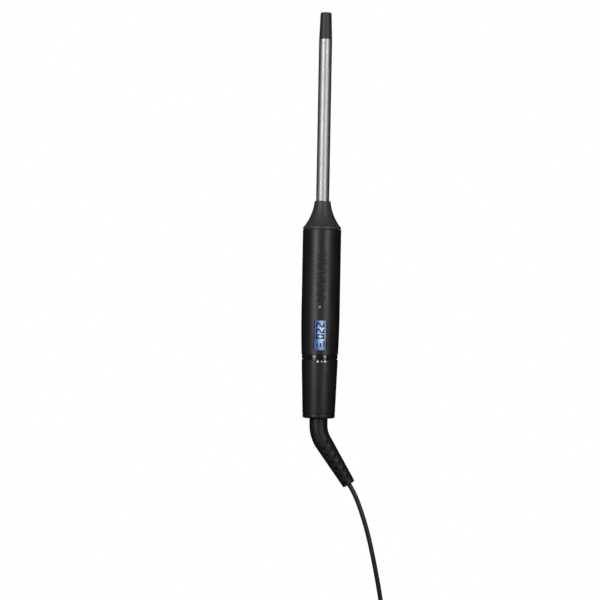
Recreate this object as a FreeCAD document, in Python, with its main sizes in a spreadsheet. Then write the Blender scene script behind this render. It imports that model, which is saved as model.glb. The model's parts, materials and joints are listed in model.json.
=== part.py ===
import FreeCAD, Part
import Sketcher

import math
import os
import re

# Slim curling wand. Every height in the sheet is above the bottom of the handle; the model's origin
# is on the tool's axis in the middle of the gripped handle, grip_height above that bottom.
# +Z runs along the barrel to the tip, the display faces -Y and the cord leaves towards +X.

V = FreeCAD.Vector

SIZES = {
    # where the hand holds it
    "grip_height": 110.0,
    "grip_radius": 14.6,
    "grip_straight_low": 80.0,
    # cool tip
    "tip_top": 308.4,
    "tip_top_radius": 4.2,
    "tip_foot_radius": 4.95,
    "tip_edge": 0.7,
    "tip_dome": 0.3,
    "tip_spigot": 6.4,
    # barrel
    "barrel_top": 287.9,
    "barrel_foot": 141.5,
    "barrel_radius": 5.0,
    "barrel_bore": 4.3,
    "barrel_foot_radius": 4.8,
    "heater_low": 158.0,
    "heater_high": 280.0,
    "heater_half_gap": 0.7,
    "spreader_radius": 4.25,
    "plate_width": 7.0,
    "plate_thick": 1.3,
    "plate_tail": 2.0,
    "insulator_thick": 1.2,
    "lead_radius": 0.7,
    "lead_low": 104.0,
    "lead_offset": 1.6,
    "lead_depth": 1.2,
    "bead_radius": 1.1,
    "bead_low": 151.0,
    "bead_high": 155.0,
    "bead_depth": 2.3,
    "wire_radius": 0.35,
    "wire_low": 106.0,
    "wire_offset": 0.6,
    # collar and the holder inside it
    "collar_top": 164.9,
    "collar_top_radius": 6.15,
    "collar_edge": 0.5,
    "collar_lip": 145.2,
    "collar_lip_radius": 14.5,
    "collar_flare": 37.0,
    "collar_seat": 143.4,
    "collar_spigot_low": 138.0,
    "collar_bore": 5.05,
    "holder_flange_radius": 10.5,
    "holder_foot": 139.0,
    "holder_top": 154.0,
    "holder_radius": 6.4,
    "holder_wire_hole": 3.0,
    "holder_screw_offset": 8.3,
    "holder_screw_radius": 0.95,
    "holder_screw_hole": 1.05,
    "holder_screw_top": 147.0,
    "holder_head_radius": 1.9,
    "holder_head_thick": 1.4,
    "post_radius": 1.8,
    "post_top": 150.5,
    # casing shells
    "shell_top": 143.1,
    "shell_foot": 48.1,
    "shell_foot_radius": 13.9,
    "shell_bore": 12.2,
    "shell_edge": 0.35,
    "shell_taper": 727.0,
    "boss_radius": 2.3,
    "boss_deep_high": 9.6,
    "boss_deep_low": 12.6,
    "screw_radius": 1.15,
    "screw_reach": 6.0,
    "screw_head_radius": 1.95,
    "screw_head_thick": 1.5,
    "screw_seat_high": 6.4,
    "screw_seat_low": 9.4,
    "screw_recess": 2.05,
    "screw_slot": 1.3,
    "screw_high": 124.0,
    "screw_high_offset": 8.2,
    "screw_low": 79.2,
    # recessed motif on the front shell
    "motif_low": 89.3,
    "motif_pitch": 3.4,
    "motif_depth": 0.35,
    "motif_width": 6.6,
    "motif_stroke": 1.0,
    "motif_lean": 16.0,
    # indicator lamp below the motif
    "lamp_height": 84.5,
    "lamp_x": -0.8,
    "lamp_radius": 1.0,
    "lamp_flange": 1.5,
    "lamp_face": 14.4,
    "lamp_seat": 11.9,
    "lamp_foot": 5.2,
    # display
    "window_low": 51.9,
    "window_high": 74.2,
    "window_half": 4.95,
    "window_gap": 0.05,
    "window_back": 11.87,
    "frame_half": 6.1,
    "frame_low": 51.0,
    "frame_high": 75.1,
    "frame_depth": 6.8,
    "glass_thick": 1.1,
    "glass_half": 5.6,
    "glass_margin": 0.5,
    # board
    "board_half": 10.0,
    "board_low": 54.0,
    "board_high": 116.0,
    "board_front": 3.6,
    "board_thick": 1.6,
    "chip_half": 3.5,
    "chip_low": 88.0,
    "chip_thick": 1.2,
    "triac_x": -9.0,
    "triac_wide": 4.0,
    "triac_low": 62.0,
    "triac_tall": 15.0,
    "triac_deep": 8.0,
    "can_x": 5.5,
    "can_y": 2.4,
    "can_radius": 3.9,
    "can_low": 84.0,
    "can_tall": 15.0,
    "film_x": 3.2,
    "film_wide": 5.0,
    "film_low": 58.0,
    "film_tall": 13.0,
    "film_deep": 9.0,
    "fuse_x": -6.0,
    "fuse_y": -0.6,
    "fuse_radius": 1.3,
    "fuse_low": 88.0,
    "fuse_tall": 12.0,
    # gloss ring
    "trim_radius": 13.6,
    "trim_low": 44.8,
    "trim_edge": 0.4,
    # spine
    "spine_radius": 8.8,
    "spine_bore": 7.6,
    "spine_flange": 12.0,
    "spine_flange_low": 49.3,
    "spine_top": 50.7,
    # twist sleeve
    "sleeve_top": 44.5,
    "sleeve_top_radius": 13.8,
    "sleeve_foot": 3.6,
    "sleeve_foot_radius": 12.4,
    "sleeve_edge": 0.4,
    "sleeve_seat_low": 36.0,
    "sleeve_seat_radius": 12.2,
    "sleeve_bore": 11.0,
    "sleeve_land_top": 8.0,
    "running_gap": 0.05,
    "carrier_low": 37.0,
    "carrier_high": 40.5,
    "tab_low": 33.9,
    "tab_angle": 16.0,
    "tab_outer": 10.7,
    "tab_inner": 9.1,
    "ring_board_low": 42.6,
    "ring_board_thick": 1.2,
    "ring_board_radius": 11.6,
    "spring_height": 31.0,
    "spring_radius": 9.9,
    "spring_wire": 0.45,
    # tail cap
    "cap_radius": 12.35,
    "cap_top": 3.3,
    "cap_edge": 1.5,
    "cap_hole": 5.4,
    # swivel
    "hub_neck": 5.1,
    "hub_flange": 7.0,
    "hub_flange_low": 3.4,
    "hub_flange_thick": 2.0,
    "hub_stem": 3.2,
    "hub_top": 24.6,
    "hub_reach": 8.0,
    "hub_wire_hole": 1.9,
    "socket_low": 5.8,
    "socket_high": 24.0,
    "socket_bore": 5.4,
    "socket_wall": 2.0,
    "slip_ring_radius": 4.3,
    "slip_ring_low": 9.0,
    "slip_ring_tall": 2.5,
    "slip_ring_step": 6.0,
    # strain relief boot
    "boot_gap": 0.3,
    "boot_radius": 6.9,
    "boot_end_radius": 4.98,
    "boot_corner": 12.3,
    "boot_bend": 25.0,
    "boot_angle": 32.6,
    "boot_leg": 44.7,
    # cord, hank and plug
    "cord_diameter": 3.6,
    "hank_height": -195.0,
    "hank_x": 42.1,
    "hank_y": -4.0,
    "hank_fold": 10.8,
    "hank_half_span": 22.0,
    "hank_layers": 6.0,
    "tie_tall": 9.0,
    "tie_thick": 1.3,
    "plug_neck_top": -243.0,
    "plug_neck_radius": 3.6,
    "plug_shoulder_low": -263.0,
    "plug_face": -291.0,
    "plug_half_width": 17.65,
    "plug_thick": 13.7,
    "pin_spacing": 19.0,
    "pin_radius": 2.0,
    "pin_length": 19.0,
    "pin_sleeve": 10.0,
    "pin_sleeve_radius": 1.8,
    "pin_core_radius": 1.5,
    "pin_root": 8.0,
    "pin_end_round": 1.6,
}

MOTIF_STROKES = 11

# The cord's route below the boot, as (x, y, height): hanging, then in line with the hank under it.
CORD_ROUTE = [
    (24.08, 0.0, -49.96),
    (28.0, 0.0, -56.1),
    (33.1, 0.0, -68.5),
    (38.9, 0.3, -86.3),
    (44.0, 1.0, -107.8),
    (48.4, 2.2, -129.6),
    (51.3, 3.7, -146.6),
    (52.9, 5.0, -160.0),
    (52.9, 5.0, -168.0),
]

doc = FreeCAD.newDocument("curling_wand")
sheet = doc.addObject("Spreadsheet::Sheet", "Sizes")
for row, (alias, value) in enumerate(SIZES.items(), start=1):
    sheet.set("A%d" % row, alias.replace("_", " "))
    sheet.set("B%d" % row, str(value))
    sheet.setAlias("B%d" % row, alias)
doc.recompute()

nodes = []


# ---------------------------------------------------------------------------------------- helpers

def bound(text):
    """An expression on the sheet: every known size word gets the sheet's name in front."""
    return re.sub(r"[a-z]\w*", lambda m: "Sizes." + m.group() if m.group() in SIZES else m.group(), text)


def size(text):
    """The number that an expression on the sheet stands for."""
    value = sheet.evalExpression(bound(text))
    return float(getattr(value, "Value", value))


def place(thing, x="0", y="0", height="0"):
    """Puts a piece at x, y and a height above the handle's bottom."""
    thing.setExpression(".Placement.Base.x", bound(x))
    thing.setExpression(".Placement.Base.y", bound(y))
    thing.setExpression(".Placement.Base.z", bound("(" + height + ") - grip_height"))
    return thing


def rod(name, radius, low, high, x="0", y="0"):
    """An upright cylinder between two heights."""
    thing = doc.addObject("Part::Cylinder", name)
    thing.setExpression("Radius", bound(radius))
    thing.setExpression("Height", bound("(" + high + ") - (" + low + ")"))
    return place(thing, x, y, low)


def cross_rod(name, radius, front, back, x, height):
    """A cylinder that lies along Y between two depths."""
    thing = doc.addObject("Part::Cylinder", name)
    thing.setExpression("Radius", bound(radius))
    thing.setExpression("Height", bound("(" + back + ") - (" + front + ")"))
    thing.Placement.Rotation = FreeCAD.Rotation(V(1, 0, 0), -90)
    return place(thing, x, front, height)


def block(name, x_range, y_range, z_range):
    """A box between two places on each axis, its heights above the handle's bottom."""
    thing = doc.addObject("Part::Box", name)
    for prop, (low, high) in zip(("Length", "Width", "Height"), (x_range, y_range, z_range)):
        thing.setExpression(prop, bound("(" + high + ") - (" + low + ")"))
    return place(thing, x_range[0], y_range[0], z_range[0])


def cut(name, base, tool):
    thing = doc.addObject("Part::Cut", name)
    thing.Base = base
    thing.Tool = tool
    return thing


def fuse(name, things):
    thing = doc.addObject("Part::MultiFuse", name)
    thing.Shapes = things
    return thing


def common(name, things):
    thing = doc.addObject("Part::MultiCommon", name)
    thing.Shapes = things
    return thing


def tube(name, outer, inner, low, high):
    """An upright ring with a round bore."""
    return cut(name, rod(name + "_outside", outer, low, high), rod(name + "_bore", inner, low, high))


def sector(name, outer, inner, low, high, middle, spread):
    """A piece of a ring that spans an angle about the axis, centred on the given direction."""
    wedge = doc.addObject("Part::Cylinder", name + "_wedge")
    wedge.setExpression("Radius", bound(outer))
    wedge.setExpression("Height", bound("(" + high + ") - (" + low + ")"))
    wedge.setExpression("Angle", bound(spread))
    wedge.setExpression(".Placement.Rotation.Angle", bound("(" + middle + ") - (" + spread + ") / 2"))
    place(wedge, height=low)
    return cut(name, wedge, rod(name + "_core", inner, low, high))


def node(thing, label):
    """Marks a piece as a sub-part with a name of its own."""
    thing.Label = label
    nodes.append(thing)
    return thing


def add_outline(sketch, outline):
    """Draws a closed outline of (across, up) points; a third and fourth item round the way to a point.

    The third is the arc's radius and the fourth its centre's side, as one goes along: left or right.
    """
    spots = [(size(item[0]), size(item[1])) for item in outline]
    joints = []
    for index, item in enumerate(outline):
        start = spots[index - 1]
        end = spots[index]
        if len(item) == 2:
            edge = Part.LineSegment(V(start[0], start[1], 0), V(end[0], end[1], 0))
            sketch.addGeometry(edge, False)
            joints.append((1, 2))
            continue
        radius = size(item[2])
        middle = ((start[0] + end[0]) / 2, (start[1] + end[1]) / 2)
        chord = math.hypot(end[0] - start[0], end[1] - start[1])
        along = ((end[0] - start[0]) / chord, (end[1] - start[1]) / chord)
        side = 1 if item[3] == "left" else -1
        reach = math.sqrt(radius ** 2 - (chord / 2) ** 2) * side
        centre = (middle[0] - along[1] * reach, middle[1] + along[0] * reach)
        start_angle = math.atan2(start[1] - centre[1], start[0] - centre[0])
        end_angle = math.atan2(end[1] - centre[1], end[0] - centre[0])
        if side < 0:
            start_angle, end_angle = end_angle, start_angle
        circle = Part.Circle(V(centre[0], centre[1], 0), V(0, 0, 1), radius)
        sketch.addGeometry(Part.ArcOfCircle(circle, start_angle, end_angle), False)
        joints.append((1, 2) if side > 0 else (2, 1))
    count = len(outline)
    for index, item in enumerate(outline):
        following = (index + 1) % count
        point = (index, joints[index][1])
        sketch.addConstraint(Sketcher.Constraint("Coincident", *point, following, joints[following][0]))
        for kind, text, axis in (("DistanceX", item[0], -2), ("DistanceY", item[1], -1)):
            if size(text) == 0:
                sketch.addConstraint(Sketcher.Constraint("PointOnObject", *point, axis))
            else:
                number = sketch.addConstraint(Sketcher.Constraint(kind, -1, 1, *point, size(text)))
                sketch.setExpression("Constraints[%d]" % number, bound(text))
        if len(item) > 2:
            number = sketch.addConstraint(Sketcher.Constraint("Radius", index, size(item[2])))
            sketch.setExpression("Constraints[%d]" % number, bound(item[2]))


def body_with_sketch(name, plane_role, outline):
    """A PartDesign body with one outline on one of its own origin planes."""
    body = doc.addObject("PartDesign::Body", name)
    sketch = body.newObject("Sketcher::SketchObject", name + "_outline")
    plane = [item for item in body.Origin.OriginFeatures if item.Role == plane_role][0]
    sketch.AttachmentSupport = [(plane, "")]
    sketch.MapMode = "FlatFace"
    add_outline(sketch, outline)
    return body, sketch


def turned(name, outline, angle=360, reverse=False):
    """A piece turned about the tool's axis from an outline of (radius, height) points."""
    body, sketch = body_with_sketch(name, "XZ_Plane", outline)
    feature = body.newObject("PartDesign::Revolution", name + "_turned")
    feature.Profile = sketch
    feature.ReferenceAxis = (sketch, ["V_Axis"])
    feature.Angle = angle
    feature.Reversed = reverse
    sketch.Visibility = False
    return place(body)


def shape_node(label, shape):
    """A sub-part whose shape is worked out by a formula, given with heights above the handle's bottom."""
    thing = doc.addObject("Part::Feature", label)
    thing.Shape = shape
    thing.Placement.Base = V(0, 0, -SIZES["grip_height"])
    return node(thing, label)


# ------------------------------------------------------------------------------- barrel and heater

def make_cool_tip():
    return node(turned("cool_tip", [
        ("0", "tip_top"),
        ("0", "barrel_top - tip_spigot"),
        ("barrel_bore - 0.05", "barrel_top - tip_spigot"),
        ("barrel_bore - 0.05", "barrel_top"),
        ("tip_foot_radius", "barrel_top"),
        ("tip_top_radius", "tip_top - tip_dome - tip_edge"),
        ("tip_top_radius - tip_edge", "tip_top - tip_dome", "tip_edge", "left"),
    ]), "cool_tip")


def make_barrel():
    node(turned("barrel_tube", [
        ("barrel_bore", "barrel_top"),
        ("barrel_bore", "barrel_foot"),
        ("barrel_foot_radius", "barrel_foot"),
        ("barrel_foot_radius", "collar_top - 1"),
        ("barrel_radius", "collar_top"),
        ("barrel_radius", "barrel_top"),
    ]), "barrel_tube")
    top = "barrel_top - tip_spigot - 0.1"
    insulator = rod("tip_insulator", "barrel_bore - 0.1", top + " - insulator_thick", top)
    node(insulator, "tip_insulator")


def make_heater():
    half = "plate_width / 2"
    thick = "plate_thick / 2"
    plate = block("heater_plate", ("-" + half, half), ("-" + thick, thick),
                  ("heater_low - plate_tail", "heater_high"))
    node(plate, "heater_plate")
    reach = "spreader_radius + 1"
    for label, side in (("heater_spreader_front", ("-heater_half_gap", reach)),
                        ("heater_spreader_rear", ("-(" + reach + ")", "heater_half_gap"))):
        stock = rod(label + "_stock", "spreader_radius", "heater_low", "heater_high")
        away = block(label + "_away", ("-(" + reach + ")", reach), side, ("heater_low - 1", "heater_high + 1"))
        node(cut(label, stock, away), label)
    leads = [rod("heater_lead_%d" % index, "lead_radius", "lead_low", "heater_low - plate_tail", x, "-lead_depth")
             for index, x in enumerate(("-lead_offset", "lead_offset"))]
    node(fuse("heater_leads", leads), "heater_leads")
    bead = rod("sensor_bead", "bead_radius", "bead_low", "bead_high", "0", "bead_depth")
    wires = [rod("sensor_wire_%d" % index, "wire_radius", "wire_low", "bead_low + 0.2", x, "bead_depth")
             for index, x in enumerate(("-wire_offset", "wire_offset"))]
    node(fuse("temperature_sensor", [bead] + wires), "temperature_sensor")


def make_holder():
    flange = rod("holder_flange", "holder_flange_radius", "holder_foot", "barrel_foot")
    neck = rod("holder_neck", "holder_radius", "barrel_foot", "holder_top")
    bores = [
        rod("holder_bore", "barrel_foot_radius", "barrel_foot", "holder_top + 1"),
        rod("holder_wire_hole", "holder_wire_hole", "holder_foot - 1", "barrel_foot + 1"),
    ]
    screws = []
    for index, x in enumerate(("-holder_screw_offset", "holder_screw_offset")):
        bores.append(rod("holder_screw_hole_%d" % index, "holder_screw_hole", "holder_foot - 1", "barrel_foot + 1", x))
        shank = rod("holder_screw_shank_%d" % index, "holder_screw_radius", "holder_foot", "holder_screw_top", x)
        head = rod("holder_screw_head_%d" % index, "holder_head_radius", "holder_foot - holder_head_thick",
                   "holder_foot", x)
        slot = block("holder_screw_slot_%d" % index, (x + " - 1.5", x + " + 1.5"), ("-0.25", "0.25"),
                     ("holder_foot - holder_head_thick - 0.1", "holder_foot - 0.8"))
        screws.append(cut("holder_screw_%d" % index, fuse("holder_screw_body_%d" % index, [shank, head]), slot))
    solid = fuse("holder_solid", [flange, neck])
    node(cut("barrel_holder", solid, fuse("holder_bores", bores)), "barrel_holder")
    node(fuse("holder_screws", screws), "holder_screws")


def make_collar():
    skin = turned("collar_skin", [
        ("collar_bore", "collar_top"),
        ("collar_bore", "collar_top - 7"),
        ("collar_bore + 1.5", "collar_top - 8"),
        ("9.3", "151.5"),
        ("11", "147"),
        ("11", "collar_spigot_low"),
        ("shell_bore - 0.05", "collar_spigot_low"),
        ("shell_bore - 0.05", "collar_seat"),
        ("collar_lip_radius - 0.1", "collar_seat"),
        ("collar_lip_radius", "collar_seat + 0.3"),
        ("collar_lip_radius", "collar_lip - 0.4"),
        ("collar_lip_radius - 0.5", "collar_lip + 0.1", "0.5", "left"),
        ("collar_top_radius", "collar_top - collar_edge", "collar_flare", "right"),
        ("collar_top_radius - collar_edge", "collar_top", "collar_edge", "left"),
    ])
    posts = []
    holes = []
    for index, x in enumerate(("-holder_screw_offset", "holder_screw_offset")):
        posts.append(rod("collar_post_%d" % index, "post_radius", "barrel_foot + 0.1", "post_top", x))
        holes.append(rod("collar_post_hole_%d" % index, "holder_screw_radius", "barrel_foot",
                         "holder_screw_top + 0.2", x))
    solid = fuse("collar_solid", [skin] + posts)
    node(cut("collar", solid, fuse("collar_post_holes", holes)), "collar")


# ------------------------------------------------------------------------------------------ casing

def casing_outline(bore, inset):
    """The casing's wall in section, with the lip at its foot that holds the spine's flange."""
    return [
        (bore, "shell_top"),
        (bore, "spine_flange_low - 0.1"),
        ("spine_radius + 0.05", "spine_flange_low - 0.1"),
        ("spine_radius + 0.05", "shell_foot"),
        ("shell_foot_radius - shell_edge - " + inset, "shell_foot"),
        ("shell_foot_radius - " + inset, "shell_foot + shell_edge", "shell_edge", "left"),
        ("grip_radius - " + inset, "grip_straight_low", "shell_taper", "right"),
        ("grip_radius - " + inset, "shell_top - shell_edge"),
        ("grip_radius - shell_edge - " + inset, "shell_top", "shell_edge", "left"),
    ]


def motif_cutters():
    """A column of strokes that lean alternately left and right, cut to one depth under the skin."""
    strokes = []
    for index in range(MOTIF_STROKES):
        stroke = doc.addObject("Part::Box", "motif_stroke_%d" % index)
        stroke.setExpression("Length", bound("motif_width"))
        stroke.setExpression("Width", "4")
        stroke.setExpression("Height", bound("motif_stroke"))
        lean = SIZES["motif_lean"] * (-1 if index % 2 else 1)
        turn = FreeCAD.Rotation(V(0, 1, 0), lean)
        corner = turn.multVec(V(-SIZES["motif_width"] / 2, 0, -SIZES["motif_stroke"] / 2))
        height = SIZES["motif_low"] + index * SIZES["motif_pitch"] - SIZES["grip_height"]
        stroke.Placement = FreeCAD.Placement(V(corner.x, -SIZES["grip_radius"] - 1, height + corner.z), turn)
        strokes.append(stroke)
    band = tube("motif_band", "grip_radius + 2", "grip_radius - motif_depth", "grip_straight_low", "shell_top")
    return common("motif", [fuse("motif_strokes", strokes), band])


def make_shells():
    front_bosses = []
    front_holes = []
    rear_bosses = []
    rear_holes = []
    screws = []
    places = (("-screw_high_offset", "screw_high"), ("screw_high_offset", "screw_high"), ("0", "screw_low"))
    for index, (x, height) in enumerate(places):
        where = "low" if x == "0" else "high"
        deep = "boss_deep_" + where
        seat = "screw_seat_" + where
        tag = "_%d" % index
        front_bosses.append(cross_rod("front_boss" + tag, "boss_radius", "-" + deep, "0", x, height))
        front_holes.append(cross_rod("front_hole" + tag, "screw_radius", "-screw_reach", "0.5", x, height))
        rear_bosses.append(cross_rod("rear_boss" + tag, "boss_radius", "0", deep, x, height))
        rear_holes.append(cross_rod("rear_hole" + tag, "screw_radius + 0.05", "-0.5", seat + " + 0.1", x, height))
        rear_holes.append(cross_rod("rear_recess" + tag, "screw_recess", seat, "16", x, height))
        shank = cross_rod("shell_screw_shank" + tag, "screw_radius", "-screw_reach", seat, x, height)
        cap = cross_rod("shell_screw_head" + tag, "screw_head_radius", seat, seat + " + screw_head_thick", x, height)
        across = ("(" + x + ") - screw_slot", "(" + x + ") + screw_slot")
        narrow = ("(" + x + ") - 0.3", "(" + x + ") + 0.3")
        depth = (seat + " + 0.8", seat + " + 2")
        drive = block("shell_screw_drive" + tag, across, depth, (height + " - 0.3", height + " + 0.3"))
        cross = block("shell_screw_cross" + tag, narrow, depth, (height + " - screw_slot", height + " + screw_slot"))
        screws.append(cut("shell_screw" + tag, fuse("shell_screw_body" + tag, [shank, cap]),
                          fuse("shell_screw_recess" + tag, [drive, cross])))
    wall = casing_outline("shell_bore", "0")
    opening = block("window_opening", ("-window_half", "window_half"), ("-16", "-(window_back - 0.2)"),
                    ("window_low", "window_high"))
    pocket = block("frame_pocket", ("-(frame_half + 0.1)", "frame_half + 0.1"), ("-(window_back + 0.08)", "-8"),
                   ("frame_low - 0.1", "frame_high + 0.1"))
    front = fuse("front_shell_solid", [turned("front_shell_wall", wall, 180, True)] + front_bosses)
    lamp_bore = cross_rod("lamp_bore", "lamp_radius + 0.03", "-16", "-9", "lamp_x", "lamp_height")
    front_cuts = fuse("front_shell_cuts", front_holes + [opening, pocket, lamp_bore, motif_cutters()])
    node(cut("front_shell", front, front_cuts), "front_shell")
    rear = fuse("rear_shell_solid", [turned("rear_shell_wall", wall, 180, False)] + rear_bosses)
    node(cut("rear_shell", rear, fuse("rear_shell_holes", rear_holes)), "rear_shell")
    node(fuse("shell_screws", screws), "shell_screws")


def make_display():
    cover = turned("window_stock", casing_outline("shell_bore - 1", "0.12"), 180, True)
    gap = "window_gap"
    pane = block("window_pane", ("-window_half + " + gap, "window_half - " + gap), ("-16", "-window_back"),
                 ("window_low + " + gap, "window_high - " + gap))
    node(common("display_window", [cover, pane]), "display_window")
    low = "frame_low + glass_margin"
    high = "frame_high - glass_margin"
    face = "-(window_back - 0.02)"
    behind = "-(window_back - 0.02 - glass_thick)"
    glass = block("lcd_glass", ("-glass_half", "glass_half"), (face, behind), (low, high))
    node(glass, "lcd_glass")
    light = block("lcd_backlight", ("-glass_half", "glass_half"), (behind, "-7.4"), (low, high))
    node(light, "lcd_backlight")
    outside = block("lcd_frame_outside", ("-frame_half", "frame_half"), (face, "-(window_back - frame_depth)"),
                    ("frame_low", "frame_high"))
    inside = block("lcd_frame_inside", ("-(glass_half + 0.02)", "glass_half + 0.02"), ("-13", "-7.38"),
                   (low + " - 0.02", high + " + 0.02"))
    node(cut("lcd_frame", outside, inside), "lcd_frame")


def make_indicator():
    """A clear pipe that carries a small lamp's light from the board to the casing's skin."""
    pipe = cross_rod("lamp_pipe", "lamp_radius", "-lamp_face", "-lamp_foot", "lamp_x", "lamp_height")
    flange = cross_rod("lamp_flange_disc", "lamp_flange", "-lamp_seat", "-(lamp_seat - 0.8)", "lamp_x", "lamp_height")
    node(fuse("indicator_pipe", [pipe, flange]), "indicator_pipe")
    body = block("lamp_body", ("lamp_x - 0.8", "lamp_x + 0.8"), ("-(lamp_foot - 0.1)", "-board_front"),
                 ("lamp_height - 0.6", "lamp_height + 0.6"))
    node(body, "indicator_lamp")


def make_board():
    front = "-board_front"
    back = "-(board_front - board_thick)"
    sheet_stock = block("board_stock", ("-board_half", "board_half"), (front, back), ("board_low", "board_high"))
    hole = cross_rod("board_hole", "boss_radius + 0.3", "-6", "2", "0", "screw_low")
    node(cut("control_board", sheet_stock, hole), "control_board")
    chip = block("controller_chip", ("-chip_half", "chip_half"), (front + " - chip_thick", front),
                 ("chip_low", "chip_low + 2 * chip_half"))
    node(chip, "controller_chip")
    back_face = back + " + 0.01"
    triac = block("power_triac", ("triac_x", "triac_x + triac_wide"), (back_face, back + " + triac_deep"),
                  ("triac_low", "triac_low + triac_tall"))
    node(triac, "power_triac")
    can = rod("capacitor_can", "can_radius", "can_low", "can_low + can_tall", "can_x", "can_y")
    film = block("capacitor_film", ("film_x", "film_x + film_wide"), (back_face, back + " + film_deep"),
                 ("film_low", "film_low + film_tall"))
    node(fuse("capacitors", [can, film]), "capacitors")
    node(rod("thermal_fuse", "fuse_radius", "fuse_low", "fuse_low + fuse_tall", "fuse_x", "fuse_y"), "thermal_fuse")


# ------------------------------------------------------------------------------ twist grip and core

def make_trim_ring():
    return node(turned("trim_ring", [
        ("spine_radius + 0.05", "shell_foot"),
        ("spine_radius + 0.05", "trim_low"),
        ("trim_radius - trim_edge", "trim_low"),
        ("trim_radius", "trim_low + trim_edge", "trim_edge", "left"),
        ("trim_radius", "shell_foot - trim_edge"),
        ("trim_radius - trim_edge", "shell_foot", "trim_edge", "left"),
    ]), "trim_ring")


def make_spine():
    core = rod("spine_core", "spine_radius", "cap_top + 0.1", "spine_top")
    flange = rod("spine_flange", "spine_flange", "spine_flange_low", "spine_top")
    stops = [sector("spine_stop_%d" % index, "tab_outer", "spine_radius - 0.2", "tab_low + 0.3",
                    "carrier_low - 0.3", middle, "5")
             for index, middle in enumerate(("270 - 28", "270 + 28"))]
    post = sector("spine_post", "tab_outer", "spine_radius - 0.2", "spring_height + 0.8", "tab_low - 0.3",
                  "90", "tab_angle")
    solid = fuse("spine_solid", [core, flange, post] + stops)
    bore = rod("spine_bore", "spine_bore", "0", "spine_top + 1")
    node(cut("spine", solid, bore), "spine")
    board = tube("contact_board", "ring_board_radius", "spine_radius", "ring_board_low",
                 "ring_board_low + ring_board_thick")
    node(board, "contact_board")


def make_twist_grip():
    node(turned("twist_sleeve", [
        ("sleeve_seat_radius", "sleeve_top"),
        ("sleeve_seat_radius", "sleeve_seat_low"),
        ("sleeve_bore", "sleeve_seat_low"),
        ("sleeve_bore", "sleeve_land_top"),
        ("spine_radius + running_gap", "sleeve_land_top"),
        ("spine_radius + running_gap", "sleeve_foot"),
        ("sleeve_foot_radius - sleeve_edge", "sleeve_foot"),
        ("sleeve_foot_radius", "sleeve_foot + sleeve_edge", "sleeve_edge", "left"),
        ("sleeve_top_radius", "sleeve_top - sleeve_edge"),
        ("sleeve_top_radius - sleeve_edge", "sleeve_top", "sleeve_edge", "left"),
    ]), "twist_sleeve")
    ring = tube("carrier_ring", "sleeve_seat_radius", "spine_radius + running_gap", "carrier_low", "carrier_high")
    tabs = [sector("carrier_tab_%d" % index, "tab_outer", "tab_inner", "tab_low", "carrier_low + 0.2",
                   middle, "tab_angle")
            for index, middle in enumerate(("90", "270"))]
    node(fuse("twist_carrier", [ring] + tabs), "twist_carrier")
    wipers = [sector("wiper_%d" % index, "11.2", "9.4", "carrier_high", "ring_board_low - 0.15",
                     "%d" % (60 + 120 * index), "8")
              for index in range(3)]
    node(fuse("contact_wipers", wipers), "contact_wipers")


def make_centring_spring():
    """One open turn of wire whose two upright legs hold the fixed post and the carrier's tab."""
    coil = doc.addObject("Part::Torus", "spring_coil")
    coil.setExpression("Radius1", bound("spring_radius"))
    coil.setExpression("Radius2", bound("spring_wire"))
    coil.Angle3 = 336
    coil.Placement.Rotation = FreeCAD.Rotation(V(0, 0, 1), 102)
    place(coil, height="spring_height")
    legs = []
    for index, angle in enumerate((104, 76)):
        x = "spring_radius * %.6f" % math.cos(math.radians(angle))
        y = "spring_radius * %.6f" % math.sin(math.radians(angle))
        legs.append(rod("spring_leg_%d" % index, "spring_wire - 0.05", "spring_height - 0.2",
                        "carrier_low - 0.3", x, y))
    node(fuse("centring_spring", [coil] + legs), "centring_spring")


# --------------------------------------------------------------------------------- tail and swivel

def make_tail_cap():
    return node(turned("tail_cap", [
        ("cap_hole", "cap_top"),
        ("cap_hole", "0"),
        ("cap_radius - cap_edge", "0"),
        ("cap_radius", "cap_edge", "cap_edge", "left"),
        ("cap_radius", "cap_top"),
    ]), "tail_cap")


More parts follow.
